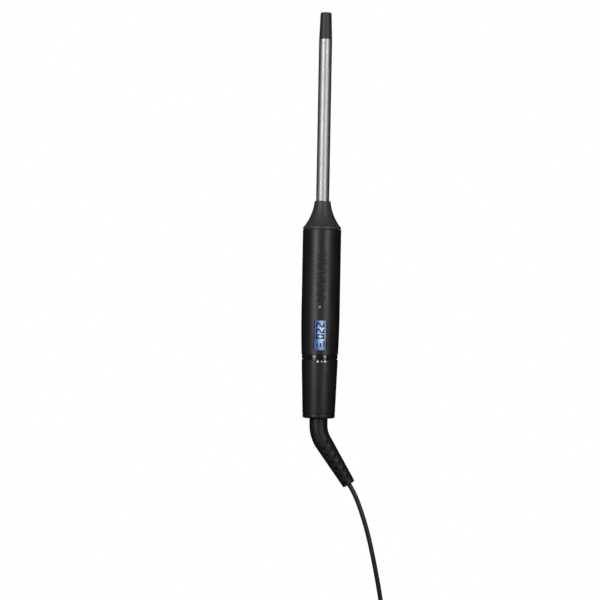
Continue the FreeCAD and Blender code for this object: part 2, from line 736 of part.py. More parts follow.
def make_swivel():
    stock = rod("socket_stock", "spine_bore", "socket_low", "socket_high")
    room = rod("socket_room", "socket_bore", "socket_low - 1", "socket_high - socket_wall")
    way = rod("socket_way", "hub_stem + running_gap", "socket_low", "socket_high + 1")
    strips = []
    slots = []
    leads = []
    for index, side in enumerate((-1, 1)):
        low = "slip_ring_low + slip_ring_step" if index else "slip_ring_low"
        inner = "slip_ring_radius + 0.05"
        spans = sorted(["%d * (%s)" % (side, inner), "%d * 5.2" % side], key=size)
        shoe = block("brush_shoe_%d" % index, spans, ("-1.2", "1.2"), (low, low + " + slip_ring_tall"))
        spans = sorted(["%d * 4.7" % side, "%d * 5.2" % side], key=size)
        tail = block("brush_tail_%d" % index, spans, ("-0.8", "0.8"), (low, "socket_high + 1.5"))
        strips.append(fuse("brush_%d" % index, [shoe, tail]))
        slots.append(block("brush_slot_%d" % index, sorted(["%d * 4.6" % side, "%d * 5.3" % side], key=size),
                           ("-0.9", "0.9"), ("socket_high - socket_wall - 0.5", "socket_high + 1")))
        leads.append(rod("swivel_lead_%d" % index, "0.8", "socket_high + 1.5", "board_low + 4", "%d * 5" % side))
    node(cut("swivel_socket", stock, fuse("socket_cuts", [room, way] + slots)), "swivel_socket")
    node(fuse("brush_contacts", strips), "brush_contacts")
    node(fuse("swivel_leads", leads), "swivel_leads")
    flange_top = "hub_flange_low + hub_flange_thick"
    hub = fuse("hub_solid", [
        rod("hub_neck", "hub_neck", "-hub_reach", flange_top),
        rod("hub_flange", "hub_flange", "hub_flange_low", flange_top),
        rod("hub_stem", "hub_stem", flange_top, "hub_top"),
    ])
    node(cut("swivel_hub", hub, rod("hub_wire_hole", "hub_wire_hole", "-hub_reach - 1", "slip_ring_low")),
         "swivel_hub")
    rings = []
    for index in range(2):
        low = "slip_ring_low + %d * slip_ring_step" % index
        rings.append(tube("slip_ring_%d" % index, "slip_ring_radius", "hub_stem", low, low + " + slip_ring_tall"))
    node(fuse("slip_rings", rings), "slip_rings")


# ------------------------------------------------------------------------- boot, cord, hank and plug

def make_boot():
    """Moulded on the hub's neck: straight, then bent, then tapering along the leaving cord."""
    bend = SIZES["boot_bend"]
    wide = SIZES["boot_radius"]
    angle = math.radians(SIZES["boot_angle"])
    tangent = bend * math.tan(angle / 2)
    gap = SIZES["boot_gap"]
    straight = SIZES["boot_corner"] - tangent
    top = Part.makeCylinder(wide, straight - gap, V(0, 0, -straight))
    ring = Part.Face(Part.Wire(Part.Circle(V(0, 0, -straight), V(0, 0, 1), wide).toShape()))
    elbow = ring.revolve(V(bend, 0, -straight), V(0, -1, 0), SIZES["boot_angle"])
    away = V(math.sin(angle), 0, -math.cos(angle))
    start = V(0, 0, -SIZES["boot_corner"]) + away * tangent
    taper = Part.makeCone(wide, SIZES["boot_end_radius"], SIZES["boot_leg"] - tangent, start, away)
    neck = Part.makeCylinder(SIZES["hub_neck"], SIZES["hub_reach"], V(0, 0, -SIZES["hub_reach"]))
    shape_node("cord_boot", top.fuse([elbow, taper]).removeSplitter().cut(neck))


def rounded_path(points):
    """Straight runs joined by tangent arcs, each as large as its two runs allow."""
    spots = [V(*point) for point in points]
    edges = []
    start = spots[0]
    radii = []
    for before, corner, after in zip(spots, spots[1:], spots[2:]):
        into = (corner - before).normalize()
        out = (after - corner).normalize()
        turn = into.getAngle(out)
        reach = 0.45 * min((corner - before).Length, (after - corner).Length)
        radii.append(reach / math.tan(turn / 2))
        arc_start = corner - into * reach
        arc_end = corner + out * reach
        bisector = (out - into).normalize()
        to_centre = radii[-1] / math.cos(turn / 2)
        middle = corner + bisector * (to_centre - radii[-1])
        edges.append(Part.LineSegment(start, arc_start).toShape())
        edges.append(Part.Arc(arc_start, middle, arc_end).toShape())
        start = arc_end
    edges.append(Part.LineSegment(start, spots[-1]).toShape())
    print("cord arcs, mm:", [round(radius, 1) for radius in radii])
    return Part.Wire(edges)


def make_cord():
    path = rounded_path(CORD_ROUTE)
    radius = SIZES["cord_diameter"] / 2
    start = V(*CORD_ROUTE[0])
    facing = V(*CORD_ROUTE[1]) - start
    ring = Part.Wire(Part.Circle(start, facing, radius).toShape())
    cord = path.makePipeShell([ring], True, True)
    print("cord length, mm: %.1f" % path.Length)
    print("cord volume against section x length: %.4f" % (cord.Volume / (math.pi * radius ** 2 * path.Length)))
    shape_node("cord", cord)


def hank_folds():
    """The radii of the two sets of turns, the inner and the outer."""
    return SIZES["hank_fold"], SIZES["hank_fold"] + SIZES["cord_diameter"]


def waisted_outline(fold, side_centre, half_span, depth):
    """A closed figure-of-eight edge: two large end arcs joined by two hollow side arcs."""
    middle = V(SIZES["hank_x"], SIZES["hank_y"] - depth / 2, SIZES["hank_height"])
    slope = math.atan2(half_span, side_centre)
    side = math.hypot(half_span, side_centre) - fold
    edges = []
    for sign in (1, -1):
        end_centre = middle + V(0, 0, sign * half_span)
        hollow_centre = middle + V(sign * side_centre, 0, 0)
        first = end_centre + V(-sign * fold * math.cos(slope), 0, -fold * math.sin(slope) * sign)
        last = end_centre + V(sign * fold * math.cos(slope), 0, -fold * math.sin(slope) * sign)
        crown = end_centre + V(0, 0, sign * fold)
        edges.append(Part.Arc(first, crown, last).toShape())
        waist = hollow_centre - V(sign * side, 0, 0)
        other = middle + V(sign * fold * math.cos(slope), 0, -sign * (half_span - fold * math.sin(slope)))
        edges.append(Part.Arc(last, waist, other).toShape())
    return Part.Wire(edges)


def make_hank():
    """One closed solid of the folded cord's outer shape: deep rows of turns drawn in at the tie."""
    half = SIZES["cord_diameter"] / 2
    outer = hank_folds()[1]
    half_span = SIZES["hank_half_span"]
    waist = outer - SIZES["hank_fold"] + 2 * half
    drawn_in = outer + half - waist
    side_centre = (half_span ** 2 - drawn_in ** 2) / (2 * drawn_in)
    deep = SIZES["hank_layers"] * SIZES["cord_diameter"]
    face = Part.Face(waisted_outline(outer + half, side_centre, half_span, deep))
    shape_node("cord_hank", face.extrude(V(0, deep, 0)))
    inner_x = waist + 0.05
    inner_y = deep / 2 + 0.5
    thick = SIZES["tie_thick"]
    tall = SIZES["tie_tall"]
    middle = V(SIZES["hank_x"], SIZES["hank_y"], SIZES["hank_height"] - tall / 2)

    def slab(half_x, half_y):
        box = Part.makeBox(2 * half_x, 2 * half_y, tall, middle - V(half_x, half_y, 0))
        upright = [edge for edge in box.Edges if abs(edge.Vertexes[0].Z - edge.Vertexes[1].Z) > 1]
        return box.makeFillet(1.6, upright)

    spare = 1.2
    band = slab(inner_x + spare + thick, inner_y + thick).cut(slab(inner_x + spare, inner_y))
    shape_node("hank_tie", band)


def make_plug():
    x = SIZES["hank_x"] + hank_folds()[1]
    y = SIZES["hank_y"] + (SIZES["hank_layers"] / 2 - 1) * SIZES["cord_diameter"]
    low = SIZES["hank_height"] - SIZES["hank_half_span"]
    neck_top = SIZES["plug_neck_top"]
    lead = Part.makeCylinder(SIZES["cord_diameter"] / 2, low - neck_top, V(x, y, neck_top))
    shape_node("plug_lead", lead)
    shoulder = SIZES["plug_shoulder_low"]
    face = SIZES["plug_face"]
    half = SIZES["plug_half_width"]
    thick = SIZES["plug_thick"]
    neck = SIZES["plug_neck_radius"]
    corners = [
        V(x - neck - 1.5, y, shoulder + 3), V(x + neck + 1.5, y, shoulder + 3),
        V(x + half * 0.62, y, shoulder - 3), V(x + half, y, face + 9),
        V(x + half, y, face), V(x - half, y, face),
        V(x - half, y, face + 9), V(x - half * 0.62, y, shoulder - 3),
    ]
    outline = Part.makePolygon(corners + corners[:1])
    slab = Part.Face(outline).extrude(V(0, thick, 0))
    slab.translate(V(0, -thick / 2, 0))
    slab = slab.makeFillet(2.0, slab.Edges)
    cone = Part.makeCone(neck, neck + 1.7, neck_top - shoulder, V(x, y, neck_top), V(0, 0, -1))
    body = slab.fuse(cone)
    pins = []
    sleeves = []
    for side in (-1, 1):
        spot = V(x + side * SIZES["pin_spacing"] / 2, y, face)
        root = SIZES["pin_root"]
        sleeve_end = spot - V(0, 0, SIZES["pin_sleeve"])
        socket = Part.makeCylinder(SIZES["pin_core_radius"], root, spot, V(0, 0, 1))
        body = body.cut(socket)
        core = Part.makeCylinder(SIZES["pin_core_radius"], root + SIZES["pin_sleeve"] + 1,
                                 spot + V(0, 0, root), V(0, 0, -1))
        bare = Part.makeCylinder(SIZES["pin_radius"], SIZES["pin_length"] - SIZES["pin_sleeve"],
                                 sleeve_end, V(0, 0, -1))
        end = bare.Edges[[abs(edge.CenterOfMass.z - face + SIZES["pin_length"]) < 0.01
                          for edge in bare.Edges].index(True)]
        sleeve = Part.makeCylinder(SIZES["pin_sleeve_radius"], SIZES["pin_sleeve"], spot, V(0, 0, -1))
        pins.append(bare.makeFillet(SIZES["pin_end_round"], [end]).fuse(core))
        sleeves.append(sleeve.cut(core))
    shape_node("plug_body", body)
    shape_node("plug_pins", Part.makeCompound(pins))
    shape_node("plug_pin_sleeves", Part.makeCompound(sleeves))


make_cool_tip()
make_barrel()
make_heater()
make_holder()
make_collar()
make_shells()
make_display()
make_indicator()
make_board()
make_trim_ring()
make_spine()
make_twist_grip()
make_centring_spring()
make_tail_cap()
make_swivel()
make_boot()
make_cord()
make_hank()
make_plug()
doc.recompute()

for thing in doc.Objects:
    if "Invalid" in thing.State or "Error" in thing.State:
        raise RuntimeError("%s did not build: %s" % (thing.Name, thing.State))
for thing in nodes:
    if thing.Shape.isNull() or not thing.Shape.isValid() or not thing.Shape.Solids:
        raise RuntimeError("%s has no sound solid" % thing.Label)

os.makedirs("parts", exist_ok=True)
for thing in nodes:
    thing.Shape.exportStep("parts/" + thing.Label + ".step")
print("sub-parts written:", len(nodes))
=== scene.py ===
import json
import math

import bmesh
import bpy
from mathutils import Matrix, Vector

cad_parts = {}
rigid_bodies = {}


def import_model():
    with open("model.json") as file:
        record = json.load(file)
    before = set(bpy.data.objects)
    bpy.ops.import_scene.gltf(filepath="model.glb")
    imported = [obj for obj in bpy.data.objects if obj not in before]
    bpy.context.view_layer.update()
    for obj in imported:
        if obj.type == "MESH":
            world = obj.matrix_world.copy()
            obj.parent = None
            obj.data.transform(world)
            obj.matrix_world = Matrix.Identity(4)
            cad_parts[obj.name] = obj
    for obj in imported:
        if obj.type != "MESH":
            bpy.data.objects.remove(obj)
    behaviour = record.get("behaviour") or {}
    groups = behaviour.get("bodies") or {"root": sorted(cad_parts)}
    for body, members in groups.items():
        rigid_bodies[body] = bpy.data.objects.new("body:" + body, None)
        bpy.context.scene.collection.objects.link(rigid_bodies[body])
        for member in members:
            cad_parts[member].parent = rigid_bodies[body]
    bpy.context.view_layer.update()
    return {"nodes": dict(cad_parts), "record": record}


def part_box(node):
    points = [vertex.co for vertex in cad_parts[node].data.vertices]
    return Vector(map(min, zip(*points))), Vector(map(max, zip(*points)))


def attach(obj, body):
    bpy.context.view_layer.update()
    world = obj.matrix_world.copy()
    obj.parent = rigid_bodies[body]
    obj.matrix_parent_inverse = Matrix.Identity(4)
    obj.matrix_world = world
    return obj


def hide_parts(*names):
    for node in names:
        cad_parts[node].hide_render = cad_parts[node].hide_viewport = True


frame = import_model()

bl_info = {
    "name": "Curling Wand Finish",
    "version": (1, 0, 0),
    "blender": (4, 5, 0),
    "location": "View3D > Sidebar > Wand",
    "description": "Finishes a slim curling wand: its casing, grip, display, barrel, cord and plug",
    "category": "Object",
}

MM = 0.001
MOUNTS = {mount["name"]: mount for mount in frame["record"]["mounts"]}

# Places that the other pieces are set out from, in metres. Heights in this file are above the
# bottom of the handle, and at() turns one into a place on the model's own upright axis.
HANDLE_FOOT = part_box("tail_cap")[0].z
SHELL_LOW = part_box("front_shell")[0].z - HANDLE_FOOT
SHELL_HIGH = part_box("front_shell")[1].z - HANDLE_FOOT
SHELL_RADIUS = MOUNTS["grip"]["dims"]["r_mm"] * MM
SHELL_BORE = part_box("spine")[1].x + 0.2 * MM
BARREL_RADIUS = MOUNTS["barrel"]["dims"]["r_mm"] * MM
COLLAR_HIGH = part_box("collar")[1].z - HANDLE_FOOT
TIP_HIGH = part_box("cool_tip")[1].z - HANDLE_FOOT
SHELL_STRAIGHT_FROM = 80.0 * MM
SHELL_FOOT_CURVE = 727.0 * MM
MOTIF_ZONE_HIGH = 124.6 * MM
WINDOW_GAP = 0.05 * MM
RUNNING_BORE = 8.85 * MM
LAP_HIGH = 0.9 * MM

# The casing's screws as (x, height, how far back the head's seat lies), and their bosses' sizes, in
# millimetres. The same bosses stand in both half shells.
SCREWS = ((-8.2, 124.0, 6.4), (8.2, 124.0, 6.4), (0.0, 79.2, 9.4))
BOSS_WALL = 3.2
BOSS_RADIUS = 2.3
SCREW_BORE = 1.2
SCREW_RECESS = 2.05

# The cord's route from the boot to its tied hank, as (x, y, height), in metres.
CORD_ROUTE = (
    (0.02408, 0.0, -0.04996),
    (0.0280, 0.0, -0.0561),
    (0.0331, 0.0, -0.0685),
    (0.0389, 0.0003, -0.0863),
    (0.0440, 0.0010, -0.1078),
    (0.0484, 0.0022, -0.1296),
    (0.0513, 0.0037, -0.1466),
    (0.0529, 0.0050, -0.1600),
    (0.0529, 0.0050, -0.1680),
)


def at(height):
    """A height above the handle's bottom as a place on the model's upright axis."""
    return HANDLE_FOOT + height


# ------------------------------------------------------------------------------------- properties

def length_property(label, words, value):
    """A length in metres."""
    return bpy.props.FloatProperty(name=label, description=words, default=value, unit="LENGTH")


def angle_property(label, words, value):
    """An angle in radians, shown in degrees."""
    return bpy.props.FloatProperty(name=label, description=words, default=value, subtype="ANGLE")


def power_property(label, words, value):
    """A light's power in watts."""
    return bpy.props.FloatProperty(name=label, description=words, default=value, unit="POWER")


def count_property(label, words, value, least=1):
    """A whole number of repeats."""
    return bpy.props.IntProperty(name=label, description=words, default=value, min=least)


def colour_property(label, words, value):
    """A colour without its alpha."""
    return bpy.props.FloatVectorProperty(
        name=label, description=words, default=value, size=3, min=0, max=1, subtype="COLOR")


class WandSizes(bpy.types.PropertyGroup):
    """Sizes of the visible details, in metres unless they say otherwise."""

    motif_depth: length_property(
        "Motif depth", "How deep the casing's strokes are pressed in", 0.35 * MM)
    motif_pitch: length_property("Motif pitch", "Height from one stroke to the next", 3.4 * MM)
    motif_low: length_property("Motif start", "Height of the lowest stroke", 89.3 * MM)
    motif_width: length_property("Motif width", "Length of a stroke across the casing", 6.6 * MM)
    motif_stroke: length_property("Motif stroke", "Width of a stroke", 1.0 * MM)
    motif_lean: angle_property(
        "Motif lean", "How far the strokes lean, alternately left and right", math.radians(16))
    motif_count: count_property("Motif strokes", "How many strokes the column has", 11)
    lamp_height: length_property("Lamp height", "Height of the indicator lamp", 84.5 * MM)
    lamp_x: length_property("Lamp offset", "How far the indicator lamp stands to the side", -0.8 * MM)
    lamp_radius: length_property("Lamp radius", "Radius of the indicator lamp's light pipe", 1.0 * MM)
    pit_depth: length_property("Pit depth", "Depth of the boot's lozenge pits", 1.9 * MM)
    pit_pitch: length_property(
        "Pit pitch", "Distance along the boot from one pit to the next", 6.1 * MM)
    pit_length: length_property("Pit length", "Length of a pit along the boot", 4.0 * MM)
    pit_width: length_property("Pit width", "Width of a pit round the boot", 3.5 * MM)
    pit_columns: count_property("Pit columns", "How many columns of pits go round the boot", 8, 2)
    cord_diameter: length_property("Cord diameter", "Outside of the round cord", 3.6 * MM)
    cord_length: length_property("Cord length", "From the boot to the plug", 1.8)
    inner_turns: count_property("Inner turns", "Turns in the hank's inner row", 5)
    outer_turns: count_property("Outer turns", "Turns in the hank's outer row", 4)
    plug_ribs: count_property("Plug ribs", "Raised rings on the plug's neck", 6)
    print_thickness: length_property(
        "Print thickness", "How far printed marks stand off the surface", 0.04 * MM)


class WandFinishes(bpy.types.PropertyGroup):
    """Colours of the finishes."""

    casing: colour_property("Casing", "Soft-touch black of the casing and grip", (0.0095, 0.0095, 0.0098))
    barrel: colour_property("Barrel", "Satin coating of the barrel", (0.55, 0.55, 0.555))
    ring: colour_property("Ring", "Polished black of the trim ring", (0.010, 0.010, 0.011))
    boot: colour_property("Boot", "Rubber of the boot and cord", (0.0085, 0.0085, 0.009))
    lit_dim: colour_property("Display, dim", "Blue at the display's dim side", (0.055, 0.105, 0.29))
    lit_bright: colour_property("Display, bright", "Blue at the display's bright side", (0.74, 0.90, 1.0))
    digits: colour_property("Digits", "Dark segments of the display", (0.003, 0.012, 0.055))
    marks: colour_property("Marks", "White printed marks", (0.80, 0.80, 0.79))


class WandStage(bpy.types.PropertyGroup):
    """The studio round the wand."""

    key_power: power_property("Key light", "Power of the left softbox", 9.6)
    fill_power: power_property("Second light", "Power of the right softbox", 7.4)
    back_power: power_property("Back light", "Power of the softbox behind the wand", 9.0)
    camera_distance: length_property("Camera distance", "From the camera to the wand", 1.5)
    view_width: length_property("View width", "Width that the view takes in at the wand", 0.4563)
    lean: angle_property("Lean", "How far the wand leans to the right in the view", math.radians(1.07))


# ------------------------------------------------------------------------------------ node helpers

class Term:
    """A number inside a node tree, so that a formula can be written as one."""

    def __init__(self, tree, socket):
        self.tree = tree
        self.socket = socket

    def do(self, operation, *others, clamp=False):
        """This number put through one maths node."""
        maths = self.tree.nodes.new("ShaderNodeMath")
        maths.operation = operation
        maths.use_clamp = clamp
        for slot, item in zip(maths.inputs, (self,) + others):
            put(self.tree, slot, item)
        return Term(self.tree, maths.outputs[0])

    def __add__(self, other):
        return self.do("ADD", other)

    def __sub__(self, other):
        return self.do("SUBTRACT", other)

    def __mul__(self, other):
        return self.do("MULTIPLY", other)

    def __truediv__(self, other):
        return self.do("DIVIDE", other)

    def size(self):
        """Its size without its sign."""
        return self.do("ABSOLUTE")

    def clamped(self):
        """Kept between 0 and 1."""
        return self.do("ADD", 0.0, clamp=True)

    def below(self, other):
        """One where it is less than the other, else zero."""
        return self.do("LESS_THAN", other)


def put(tree, slot, item):
    """Sets a socket to a value, or links it to a term or another socket."""
    if isinstance(item, Term):
        item = item.socket
    if isinstance(item, bpy.types.NodeSocket):
        tree.links.new(item, slot)
    else:
        slot.default_value = item


def add_node(tree, kind, settings=(), **inputs):
    """A new node; inputs are named by their sockets, with _ for a space."""
    made = tree.nodes.new(kind)
    for key, value in dict(settings).items():
        setattr(made, key, value)
    for key, value in inputs.items():
        put(tree, made.inputs[key.replace("_", " ")], value)
    return made


def spread(colour, alpha=1.0):
    """A colour with its alpha."""
    return (colour[0], colour[1], colour[2], alpha)


# --------------------------------------------------------------------------------------- materials

def blank_material(name, roughness, **sockets):
    """A material with one shader; its all-over numbers are set on the shader's own sockets."""
    material = bpy.data.materials.new(name)
    material.use_nodes = True
    tree = material.node_tree
    tree.nodes.clear()
    shader = tree.nodes.new("ShaderNodeBsdfPrincipled")
    shader.inputs["Roughness"].default_value = roughness
    for key, value in sockets.items():
        shader.inputs[key.replace("_", " ")].default_value = value
    output = tree.nodes.new("ShaderNodeOutputMaterial")
    tree.links.new(shader.outputs["BSDF"], output.inputs["Surface"])
    return material, tree, shader


def object_place(tree, stretch=(1, 1, 1)):
    """The object's own coordinates, stretched on each axis."""
    place = tree.nodes.new("ShaderNodeTexCoord")
    mapping = add_node(tree, "ShaderNodeMapping", Scale=stretch)
    tree.links.new(place.outputs["Object"], mapping.inputs["Vector"])
    return mapping.outputs["Vector"]


def grain(tree, place, scale, detail=2.0, roughness=0.5):
    """Fine noise; scale is in grains a metre."""
    made = add_node(tree, "ShaderNodeTexNoise", Vector=place, Scale=scale, Detail=detail, Roughness=roughness)
    return made.outputs["Fac"]


def ramp(tree, factor, low, high, start=0.0, end=1.0):
    """Runs from one value or colour to another as the factor goes from start to end."""
    if isinstance(low, (int, float)):
        made = add_node(tree, "ShaderNodeMapRange", (("interpolation_type", "SMOOTHSTEP"),))
        for key, value in (("Value", factor), ("From Min", start), ("From Max", end),
                           ("To Min", low), ("To Max", high)):
            put(tree, made.inputs[key], value)
        return made.outputs["Result"]
    made = tree.nodes.new("ShaderNodeValToRGB")
    put(tree, made.inputs["Fac"], factor)
    first, last = made.color_ramp.elements
    first.position, last.position = start, end
    first.color, last.color = spread(low), spread(high)
    return made.outputs["Color"]


def bumped(tree, shader, height, distance, strength=1.0):
    """Gives a shader relief from a height."""
    made = add_node(tree, "ShaderNodeBump", Height=height, Distance=distance, Strength=strength)
    tree.links.new(made.outputs["Normal"], shader.inputs["Normal"])


def moulded(name, colour, roughness, grain_size=0.25 * MM, relief=0.006 * MM, mottle=0.12, **sockets):
    """Moulded plastic or rubber: a fine spark-eroded grain, with slow changes of tone and polish."""
    material, tree, shader = blank_material(name, roughness, **sockets)
    place = object_place(tree)
    fine = grain(tree, place, 1 / grain_size, 3.0)
    slow = grain(tree, place, 55.0, 2.0)
    dark = [part * (1 - mottle) for part in colour]
    light = [min(1.0, part * (1 + mottle)) for part in colour]
    tree.links.new(ramp(tree, slow, dark, light, 0.3, 0.7), shader.inputs["Base Color"])
    polish = Term(tree, ramp(tree, slow, -0.03, 0.03, 0.3, 0.7)) + ramp(tree, fine, -0.04, 0.04, 0.3, 0.7)
    put(tree, shader.inputs["Roughness"], polish + roughness)
    bumped(tree, shader, fine, relief)
    return material


def brushed(name, colour, roughness, stretch, relief=0.004 * MM, **sockets):
    """Metal with fine lines along one axis."""
    material, tree, shader = blank_material(name, roughness, Metallic=1.0, **sockets)
    lines = grain(tree, object_place(tree, stretch), 1.0, 4.0, 0.6)
    slow = grain(tree, object_place(tree), 40.0, 2.0)
    dark = [part * 0.9 for part in colour]
    tree.links.new(ramp(tree, lines, dark, colour, 0.3, 0.7), shader.inputs["Base Color"])
    polish = Term(tree, ramp(tree, lines, -0.05, 0.05, 0.3, 0.7)) + ramp(tree, slow, -0.03, 0.03, 0.3, 0.7)
    put(tree, shader.inputs["Roughness"], polish + roughness)
    bumped(tree, shader, lines, relief)
    return material


def lit_display(finishes):
    """The backlit glass: blue, brightest a little right of and above its middle, dim at its rim."""
    material, tree, shader = blank_material("display_lit", 0.7, Specular_IOR_Level=0.1)
    low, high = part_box("lcd_glass")
    across = add_node(tree, "ShaderNodeSeparateXYZ", Vector=object_place(tree))
    x = Term(tree, across.outputs["X"])
    z = Term(tree, across.outputs["Z"])
    middle = (low.z + high.z) / 2
    from_glow_x = (x - 0.9 * MM) / (3.7 * MM)
    from_glow_z = (z - (middle + 1.5 * MM)) / (17.0 * MM)
    distance = (from_glow_x * from_glow_x + from_glow_z * from_glow_z).do("SQRT")
    haze = Term(tree, grain(tree, object_place(tree), 260.0, 2.0)) * 0.12
    glow = ramp(tree, distance + haze, finishes.lit_bright, finishes.lit_dim, 0.05, 1.0)
    put(tree, shader.inputs["Base Color"], (0.02, 0.04, 0.08, 1.0))
    put(tree, shader.inputs["Emission Color"], glow)
    shader.inputs["Emission Strength"].default_value = 1.0
    return material


def woven(name, colour, thread):
    """A narrow woven strap: over-and-under threads and a soft sheen, with painted shade darkening the hollows
    where the threads pass under.
    """
    material, tree, shader = blank_material(name, 0.85, Sheen_Weight=0.3)
    place = object_place(tree, (1, 1, 1))
    parts = add_node(tree, "ShaderNodeSeparateXYZ", Vector=place)
    turn = 2 * math.pi / thread
    around = Term(tree, parts.outputs["X"]) + Term(tree, parts.outputs["Y"])
    warp = (around * turn).do("SINE")
    weft = (Term(tree, parts.outputs["Z"]) * turn).do("SINE")
    weave_relief_and_painted_shade = (warp * weft) * 0.5 + 0.5
    # Painted shade: the colour falls to 45 per cent where the weave's relief is lowest, in the hollows
    # between the threads.
    dark = [part * 0.45 for part in colour]
    put(tree, shader.inputs["Base Color"], ramp(tree, weave_relief_and_painted_shade, dark, colour))
    bumped(tree, shader, weave_relief_and_painted_shade.socket, 0.12 * MM)
    return material


def make_materials(finishes):
    """Every finish of the wand, by a plain name."""
    black = list(finishes.casing)
    return {
        "casing": moulded("soft_touch_black", black, 0.42, 0.2 * MM, 0.004 * MM),
        "grip": moulded("soft_touch_grip", black, 0.44, 0.2 * MM, 0.004 * MM, Specular_IOR_Level=0.38),
        # The collar takes the casing's soft-touch black made 3.8 times lighter: a painted highlight for the
        # broad light that its flare catches.
        "collar": moulded("soft_touch_collar_painted_highlight", [part * 3.8 for part in black], 0.48, 0.22 * MM, 0.004 * MM),
        "tip": moulded("heatproof_tip", [part * 2.6 for part in black], 0.5, 0.3 * MM, 0.012 * MM),
        "barrel": brushed("satin_barrel", list(finishes.barrel), 0.5, (900, 900, 3000), 0.0015 * MM),
        "ring": moulded("gloss_ring", list(finishes.ring), 0.2, 0.6 * MM, 0.0004 * MM, 0.02, Coat_Weight=0.5,
                        Coat_Roughness=0.08),
        "window": window_material(),
        "lit": lit_display(finishes),
        "digits": moulded("display_segments", list(finishes.digits), 0.8, 0.2 * MM, 0.0, 0.08,
                          Specular_IOR_Level=0.05, Emission_Color=spread(finishes.digits),
                          Emission_Strength=0.4),
        "lens": moulded("indicator_lens", [0.25, 0.25, 0.245], 0.4, 0.3 * MM, 0.002 * MM, 0.05),
        "lamp": moulded("indicator_lamp", [0.6, 0.58, 0.5], 0.45, 0.3 * MM, 0.004 * MM, 0.05),
        "marks": moulded("white_print", list(finishes.marks), 0.55, 0.08 * MM, 0.004 * MM, 0.04),
        "boot": moulded("boot_rubber", list(finishes.boot), 0.47, 0.3 * MM, 0.008 * MM,
                        Specular_IOR_Level=0.36),
        "cord": moulded("cord_sheath", list(finishes.boot), 0.40, 0.5 * MM, 0.006 * MM),
        "strap": woven("tie_weave", (0.05, 0.05, 0.052), 0.7 * MM),
        "plug": moulded("plug_black", [part * 1.5 for part in black], 0.5, 0.35 * MM, 0.02 * MM),
        "nickel": brushed("pin_nickel", [0.82, 0.80, 0.76], 0.45, (400, 400, 5000), 0.001 * MM),
        "screw": brushed("zinc_screw", [0.35, 0.35, 0.36], 0.38, (3000, 3000, 3000), 0.004 * MM),
        "inner": moulded("inner_nylon", [0.03, 0.03, 0.032], 0.55, 0.3 * MM, 0.02 * MM),
        "board": moulded("board_mask", [0.02, 0.13, 0.05], 0.35, 0.6 * MM, 0.01 * MM),
        "component": moulded("component_body", [0.03, 0.03, 0.03], 0.5, 0.3 * MM, 0.02 * MM),
        "blue_sleeve": moulded("capacitor_sleeve", [0.03, 0.06, 0.2], 0.3, 0.5 * MM, 0.005 * MM),
        "ceramic": moulded("fired_alumina", [0.75, 0.74, 0.7], 0.6, 0.2 * MM, 0.01 * MM, 0.04),
        "alloy": brushed("extruded_alloy", [0.7, 0.7, 0.71], 0.35, (2500, 2500, 60), 0.004 * MM),
        "silicone": moulded("silicone_lead", [0.5, 0.47, 0.4], 0.5, 0.4 * MM, 0.01 * MM, 0.05),
        "spring": brushed("spring_wire", [0.45, 0.45, 0.47], 0.3, (2000, 2000, 2000), 0.002 * MM),
        "brass": brushed("contact_brass", [0.72, 0.52, 0.22], 0.3, (2500, 2500, 2500), 0.003 * MM),
        "guide": moulded("light_guide", [0.75, 0.8, 0.85], 0.4, 0.6 * MM, 0.005 * MM, 0.03),
        "resin": moulded("holder_resin", [0.6, 0.54, 0.42], 0.55, 0.3 * MM, 0.02 * MM, 0.06),
    }


def window_material():
    """Clear moulded window: what is behind it shows through, with a thin gloss on top."""
    material, tree, shader = blank_material("clear_window", 0.01, Transmission_Weight=1.0, IOR=1.1)
    slow = grain(tree, object_place(tree), 90.0, 2.0)
    put(tree, shader.inputs["Roughness"], ramp(tree, slow, 0.005, 0.02, 0.3, 0.7))
    put(tree, shader.inputs["Base Color"], (0.97, 0.98, 1.0, 1.0))
    return material


MATERIALS = {}


def dress(piece, finish):
    """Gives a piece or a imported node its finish."""
    piece.data.materials.clear()
    piece.data.materials.append(MATERIALS[finish])


# ------------------------------------------------------------------------------------ mesh helpers

def new_piece(name, mesh, finish, body, slot, *stands_for):
    """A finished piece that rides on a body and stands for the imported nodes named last."""
    piece = bpy.data.objects.new(name, mesh)
    bpy.context.scene.collection.objects.link(piece)
    if finish:
        dress(piece, finish)
    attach(piece, body)
    if stands_for:
        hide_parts(*stands_for)
    return piece


def smoothed(mesh, corner=math.radians(40)):
    """Smooth faces with crisp edges where two faces meet at more than the given angle."""
    mesh.polygons.foreach_set("use_smooth", [True] * len(mesh.polygons))
    mesh.set_sharp_from_angle(angle=corner)
    mesh.validate()
    return mesh


def tidy(mesh):
    """Merges points that coincide and points every face outwards."""
    work = bmesh.new()
    work.from_mesh(mesh)
    bmesh.ops.remove_doubles(work, verts=work.verts, dist=1e-7)
    bmesh.ops.recalc_face_normals(work, faces=work.faces)
    work.to_mesh(mesh)
    work.free()
    return mesh


def mesh_of(name, points, faces, corner=math.radians(40)):
    """A finished mesh from points and faces."""
    mesh = bpy.data.meshes.new(name)
    mesh.from_pydata([tuple(point) for point in points], [], faces)
    return smoothed(tidy(mesh), corner)


def rounded(outline, steps=6):
    """Rounds each (radius, height, fillet) corner of a closed outline."""
    points = []
    count = len(outline)
    for index, (radius, height, fillet) in enumerate(outline):
        here = Vector((radius, height))
        if fillet <= 0:
            points.append(here)
            continue
        before = Vector(outline[index - 1][:2])
        after = Vector(outline[(index + 1) % count][:2])
        into = (here - before).normalized()
        out = (after - here).normalized()
        turn = into.angle(out)
        reach = fillet * math.tan(turn / 2)
        start = here - into * reach
        end = here + out * reach
        for step in range(steps + 1):
            share = step / steps
            first = start.lerp(here, share)
            points.append(first.lerp(here.lerp(end, share), share))
    return points


